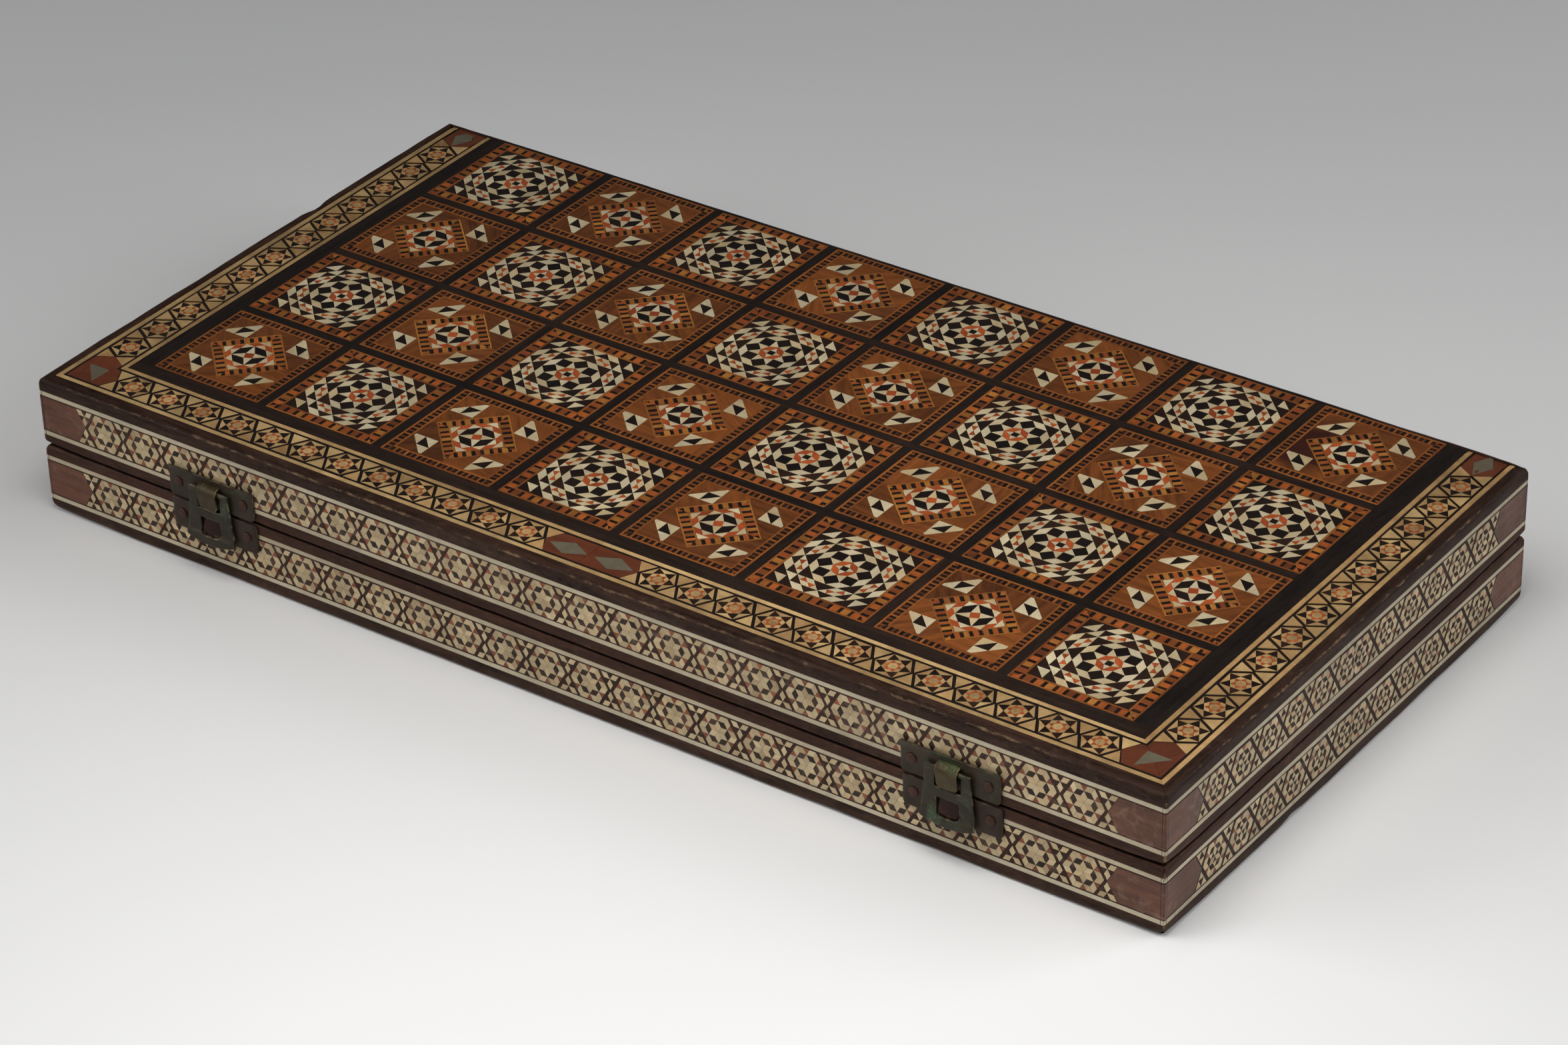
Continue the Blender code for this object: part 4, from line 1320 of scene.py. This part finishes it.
def make_lining(half):
    """The backgammon surface: twelve long points in each tray, in two woods, on a plain ground."""
    out = 1 if half == "lower" else -1
    height = LINING_TOP if half == "lower" else HEIGHT - LINING_TOP
    b = Builder(f"{half}_backgammon_inlay", (0, 0, height), out=(0, 0, out))
    reach_x = LENGTH / 2 - RAIL
    reach_y = DEPTH / 2 - RAIL
    ground = [(-reach_x, -reach_y, reach_y), (reach_x, -reach_y, reach_y)]
    b.ribbon(ground, "tray_wood", lift=-0.04, depth=1.6)
    edge = 3.0
    width = (2 * reach_y - 2 * edge) / 6
    length = 182.0
    for sign in (-1, 1):
        base = sign * (reach_x - edge)
        for i in range(6):
            low = -reach_y + edge + width * i
            middle = low + width / 2
            dark = (i + (sign > 0)) % 2 == 0
            tip = base - sign * length
            outer = [(base, low + 0.8), (base, low + width - 0.8), (tip, middle)]
            b.slip(outer, "ebony" if dark else "boxwood", angle=0.0)
            inner_base = base - sign * 2.5
            inner = [(inner_base, low + 3.0), (inner_base, low + width - 3.0), (tip + sign * 18, middle)]
            b.slip(inner, "wenge" if dark else "orange_wood", lift=0.02, angle=0.0, level=0.004)
            for at in (30.0, 60.0, 90.0):
                size = 3.4 * (1 - at / length)
                mark = [(-size * 1.6, 0), (0, -size), (size * 1.6, 0), (0, size)]
                b.slip(moved(mark, base - sign * at, middle), "bone", lift=0.035, level=0.004)
        wall = base + sign * edge
        strip = [(base, -reach_y), (wall, -reach_y), (wall, reach_y), (base, reach_y)]
        b.slip(strip, "strip", angle=math.pi / 2)
        side = sign * (reach_y - edge)
        wall = side + sign * edge
        lengthwise = [(-reach_x, side), (reach_x, side), (reach_x, wall), (-reach_x, wall)]
        b.slip(lengthwise, "strip", angle=0.0)
    # A rosette in the middle, of the same slips as the mosaic squares
    for k in range(8):
        at = 45 * k
        kite = [polar(8, at), polar(16, at - 22.5), polar(30, at), polar(16, at + 22.5)]
        b.slip(kite, "bone" if k % 2 else "padauk")
        b.slip([polar(16, at + 22.5), polar(30, at), polar(33, at + 22.5), polar(30, at + 45)], "ebony")
        petal = [(0, 0), polar(8, at), polar(16, at + 22.5), polar(8, at + 45)]
        b.slip(petal, "wenge" if k % 2 else "ochre_wood")
    installed(b.build(), HALVES[half], "backgammon_veneer", f"{half}_tray_lining")


# ---------------------------------------------------------------- hardware


# The latches, in millimetres: x from the latch's middle, y outwards is negative, z up
PLATE_BACK = -125.3
METAL = 0.9
PLATE_FRONT = -126.2
PIVOT = (-127.4, 37.0)  # y and z of the hasp's crossbar


def refined(node, name, material, bevel, uneven=0.0, angle=32, flat=None):
    """A finer copy of a metal node: flat faces joined, edges rounded, surface slightly uneven."""
    bm = bmesh.new()
    bm.from_mesh(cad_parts[node].data)
    bmesh.ops.remove_doubles(bm, verts=bm.verts, dist=1e-6)
    bmesh.ops.dissolve_limit(bm, angle_limit=math.radians(1.0), verts=bm.verts, edges=bm.edges)
    sharp = [e for e in bm.edges if len(e.link_faces) == 2 and e.calc_face_angle(0) > math.radians(angle)]
    made = bmesh.ops.bevel(
        bm, geom=sharp, offset=bevel, segments=3, profile=0.6, affect="EDGES", clamp_overlap=True
    )
    layer = bm.verts.layers.float.new("wear")
    for face in made["faces"]:
        for vert in face.verts:
            vert[layer] = 1.0
    bmesh.ops.triangulate(bm, faces=[f for f in bm.faces if len(f.verts) > 4])
    bmesh.ops.subdivide_edges(
        bm, edges=[e for e in bm.edges if e.calc_length() > 0.0016], cuts=2, use_grid_fill=True
    )
    bmesh.ops.recalc_face_normals(bm, faces=bm.faces)
    if uneven:
        for vert in bm.verts:
            push = noise.noise(vert.co * 320) + 0.5 * noise.noise(vert.co * 900)
            vert.co -= vert.normal * uneven * (0.6 + 0.6 * push)
    if flat:
        for vert in bm.verts:
            above = PLATE_FRONT * MM - vert.co.y
            if above > 0:
                vert.co.y = PLATE_FRONT * MM - above * flat
    mesh = bpy.data.meshes.new(name)
    bm.to_mesh(mesh)
    bm.free()
    mesh.materials.append(MATERIALS[material])
    mesh.shade_smooth()
    mesh.set_sharp_from_angle(angle=math.radians(50))
    obj = bpy.data.objects.new(name, mesh)
    bpy.context.scene.collection.objects.link(obj)
    return obj


def rounded(corners, steps=5):
    """A closed outline from (x, z, radius) corners."""
    outline = []
    count = len(corners)
    for i, (x, z, radius) in enumerate(corners):
        here = Vector((x, z))
        before = (Vector(corners[i - 1][:2]) - here).normalized()
        after = (Vector(corners[(i + 1) % count][:2]) - here).normalized()
        for k in range(steps + 1):
            t = k / steps
            # A quadratic arc from one side of the corner to the other
            start, end = here + before * radius, here + after * radius
            point = start * (1 - t) ** 2 + here * 2 * t * (1 - t) + end * t**2
            outline.append((point.x, point.y))
    return outline


def sheet(outline, holes, thickness, edge, cell, shape):
    """Sheet metal cut to an outline with holes, edges rounded, then bent by shape(x, z, w)."""
    curve = bpy.data.curves.new("sheet", "CURVE")
    curve.dimensions = "2D"
    curve.fill_mode = "BOTH"
    curve.extrude = thickness / 2 - edge
    curve.bevel_depth = edge
    curve.bevel_resolution = 2
    curve.offset = -edge
    for ring in (outline, *holes):
        spline = curve.splines.new("POLY")
        spline.points.add(len(ring) - 1)
        for point, (x, z) in zip(spline.points, ring):
            point.co = (x, z, 0, 1)
        spline.use_cyclic_u = True
    obj = bpy.data.objects.new("sheet", curve)
    bpy.context.scene.collection.objects.link(obj)
    bpy.context.view_layer.update()
    mesh = bpy.data.meshes.new_from_object(obj.evaluated_get(bpy.context.evaluated_depsgraph_get()))
    bpy.data.objects.remove(obj)
    bpy.data.curves.remove(curve)
    bm = bmesh.new()
    bm.from_mesh(mesh)
    bpy.data.meshes.remove(mesh)
    bmesh.ops.remove_doubles(bm, verts=bm.verts, dist=1e-4)
    xs = [v.co.x for v in bm.verts]
    zs = [v.co.y for v in bm.verts]
    for axis, low, high in ((0, min(xs), max(xs)), (1, min(zs), max(zs))):
        count = max(int((high - low) / cell), 1)
        for i in range(1, count):
            where = [0.0, 0.0, 0.0]
            where[axis] = low + (high - low) * i / count
            normal = [0.0, 0.0, 0.0]
            normal[axis] = 1.0
            geometry = bm.verts[:] + bm.edges[:] + bm.faces[:]
            bmesh.ops.bisect_plane(bm, geom=geometry, dist=1e-5, plane_co=where, plane_no=normal)
    layer = bm.verts.layers.float.new("wear")
    bmesh.ops.recalc_face_normals(bm, faces=bm.faces)
    for vert in bm.verts:
        vert[layer] = float(all(abs(face.normal.z) < 0.98 for face in vert.link_faces))
    for vert in bm.verts:
        vert.co = shape(*vert.co)
    bmesh.ops.recalc_face_normals(bm, faces=bm.faces)
    return bm


def metal_piece(name, parts, centre, materials, uneven):
    """Joins bent sheets into one piece, in place, with the small dents of hand-made fittings."""
    mesh = bpy.data.meshes.new(name)
    bm = bmesh.new()
    bm.verts.layers.float.new("wear")
    for index, part in enumerate(parts):
        for face in part.faces:
            face.material_index = min(index, len(materials) - 1)
        part.to_mesh(mesh)
        part.free()
        bm.from_mesh(mesh)
    for vert in bm.verts:
        spot = vert.co + Vector((centre, 0, 0))
        dent = noise.noise(spot / 5.5) + 0.35 * noise.noise(spot / 1.7)
        vert.co = (spot + Vector((0, dent * uneven, 0))) * MM
    bmesh.ops.recalc_face_normals(bm, faces=bm.faces)
    bm.to_mesh(mesh)
    bm.free()
    for material in materials:
        mesh.materials.append(MATERIALS[material])
    mesh.shade_smooth()
    mesh.set_sharp_from_angle(angle=math.radians(60))
    obj = bpy.data.objects.new(name, mesh)
    bpy.context.scene.collection.objects.link(obj)
    return obj


def smoothstep(value, low, high):
    t = min(max((value - low) / (high - low), 0.0), 1.0)
    return t * t * (3 - 2 * t)


def plate_part(low, high, shift, lip):
    """A latch plate; the lid's has a rolled lip along the top, and both are slightly dished."""
    corners = [(-20.5, low, 2.0), (20.5, low, 2.0), (20.5, high, 1.2), (-20.5, high, 0.8)]

    def shape(x, z, w):
        dish = 0.22 * (1 - abs(2 * (z - low) / (high - low) - 1) ** 2)
        roll = lip * smoothstep(z, high - 1.5, high - 0.2)
        curl = 0.25 * smoothstep(abs(x), 18.8, 20.5)
        return (x + shift, PLATE_BACK - METAL / 2 - w + dish * 0.5 - roll + curl, z)

    return sheet(rounded(corners), [], METAL, 0.28, 1.4, shape)


def tongue_part():
    """The tongue struck from the lid's plate and folded over the hasp's crossbar."""
    controls = [
        (-125.6, 39.3), (-126.6, 39.3), (-127.6, 39.05), (-128.5, 38.3), (-129.0, 37.2),
        (-129.02, 36.2), (-128.7, 34.6), (-128.45, 33.0), (-128.35, 31.6), (-128.3, 30.0),
    ]
    path = [Vector(c) for c in controls]
    for _ in range(2):
        finer = [path[0]]
        for p, q in zip(path, path[1:]):
            finer += [p * 0.75 + q * 0.25, p * 0.25 + q * 0.75]
        path = finer + [path[-1]]
    lengths = [0.0]
    for p, q in zip(path, path[1:]):
        lengths.append(lengths[-1] + (q - p).length)
    total = lengths[-1]

    def shape(x, s, w):
        s = min(max(s, 0.0), total)
        k = max(i for i in range(len(path) - 1) if lengths[i] <= s)
        p, q = path[k], path[k + 1]
        step = (q - p) / (lengths[k + 1] - lengths[k])
        here = p + step * (s - lengths[k])
        out = Vector((-step.y, step.x)) * -1
        cup = 0.25 * (x / 4.65) ** 2 * smoothstep(s, 5.0, total)
        here = here + out * (w - cup)
        return (x, here.x, here.y)

    outline = rounded([(-4.65, 0, 0.1), (4.65, 0, 0.1), (4.4, total, 1.9), (-4.2, total, 1.9)])
    return sheet(outline, [], 0.8, 0.3, 0.7, shape)


def boss_part():
    """The pressed boss under the hasp's window, proudest along its rounded lower edge, with a painted
    highlight along that edge.
    """
    corners = [(-4.4, 17.2, 2.1), (4.5, 17.2, 2.1), (4.5, 25.3, 0.7), (-4.4, 25.3, 0.7)]
    deep = 2.4

    def shape(x, z, w):
        out = (w + deep / 2) / deep
        crown = 1.7 - 1.1 * smoothstep(z, 19.0, 25.6) - 0.3 * (x / 4.4) ** 2
        return (x, PLATE_BACK - METAL + 0.6 - out * (0.6 + crown), z)

    bm = sheet(rounded(corners, 7), [], deep, 0.7, 0.6, shape)
    # Painted highlight: the lower front edge is marked like a rubbed edge, so the metal shader lightens it
    # there
    layer = bm.verts.layers.float["wear"]
    for vert in bm.verts:
        vert[layer] = smoothstep(-vert.co.z, -19.3, -18.2) * smoothstep(-vert.co.y, 126.8, 127.3)
    return bm


def hasp_part():
    """The hasp: a splayed plate with a rolled top, a slot for the tongue and a window for the boss."""
    arc = []
    for k in range(13):
        x = -11.5 + 23.0 * k / 12
        arc.append((x, 14.35 + 2.2 * (x / 11.5) ** 2))
    edge = [(11.35, 17.2), (10.6, 23.0), (9.9, 29.5), (9.4, 35.0), (9.4, 37.9)]
    outline = arc + edge + [(-x, z) for x, z in edge[::-1]]
    slot = rounded([(-5.4, 29.2, 0.5), (5.4, 29.2, 0.5), (5.4, 36.2, 0.3), (-5.4, 36.2, 0.3)], 2)
    window = rounded([(-4.6, 18.1, 1.9), (4.7, 18.1, 1.9), (4.7, 25.2, 0.4), (-4.7, 25.2, 0.4)], 4)

    def shape(x, z, w):
        roll = math.sqrt(max(0.9**2 - (z - PIVOT[1]) ** 2, 0.0))
        if z > PIVOT[1] - (0.75 if abs(x) > 5.5 else 0.9):
            w = w / (METAL / 2) * max(roll, 0.12)
        flare = 1.25 * smoothstep(20.2 - z, 0.0, 3.0)
        splay = 8.0 + 2.2 * smoothstep(30 - z, 0, 12)
        fold = 0.3 * smoothstep(abs(x), splay, 11.6) * smoothstep(34 - z, 0, 4)
        return (x, PIVOT[0] - w - flare + fold, z)

    return sheet(outline, [slot, window], METAL, 0.28, 0.75, shape)


def make_latch(end):
    centre = ENDS[end] * LATCH_X
    keeper_shift = 0.7
    plate = [plate_part(29.7, 42.2, 0.0, 0.35), tongue_part()]
    obj = metal_piece(f"{end}_latch_plate_worn", plate, centre, ["latch_brass", "tongue_brass"], 0.06)
    installed(obj, "lid", "latch_brass", f"{end}_latch_plate")
    keeper = [plate_part(16.0, 28.4, keeper_shift, 0.0), boss_part()]
    obj = metal_piece(f"{end}_latch_keeper_worn", keeper, centre, ["keeper_brass", "boss_brass"], 0.06)
    installed(obj, "base", "latch_brass", f"{end}_latch_keeper")
    obj = metal_piece(f"{end}_latch_hasp_worn", [hasp_part()], centre, ["hasp_brass"], 0.08)
    installed(obj, f"{end}_hasp", "latch_brass", f"{end}_latch_hasp")
    for plate_name, body in (("plate", "lid"), ("keeper", "base")):
        for number in (1, 2):
            node = f"{end}_latch_{plate_name}_rivet_{number}"
            rivet = refined(node, f"{node}_head", "rivet_brass", 0.12 * MM, 0.06 * MM, angle=50, flat=0.62)
            rivet.location.x = keeper_shift * MM if body == "base" else 0.0
            installed(rivet, body, "rivet_brass", node)


def hinge_part(node, body, bevel, uneven=0.0, angle=32):
    part = refined(node, f"{node}_worn", "hinge_steel", bevel * MM, uneven * MM, angle)
    installed(part, body, "hinge_steel", node)


def make_hinge(end):
    for half, body in HALVES.items():
        hinge_part(f"{end}_hinge_{half}_leaf", body, 0.15, 0.02)
        for number in (1, 2):
            hinge_part(f"{end}_hinge_{half}_screw_{number}", body, 0.08, angle=50)
    hinge_part(f"{end}_hinge_pin", "base", 0.1, angle=40)


# ---------------------------------------------------------------- everything

make_camera()
make_studio()
for half in HALVES:
    make_squares(half)
    make_field_strips(half)
    make_panel(half)
    make_rails(half)
    make_lining(half)
    for side in ("front", "left", "right"):
        make_border(half, side)
    for side in SIDES:
        make_banding(half, side)
for end in ENDS:
    make_latch(end)
    make_hinge(end)

bpy.context.scene.view_settings.view_transform = "Standard"
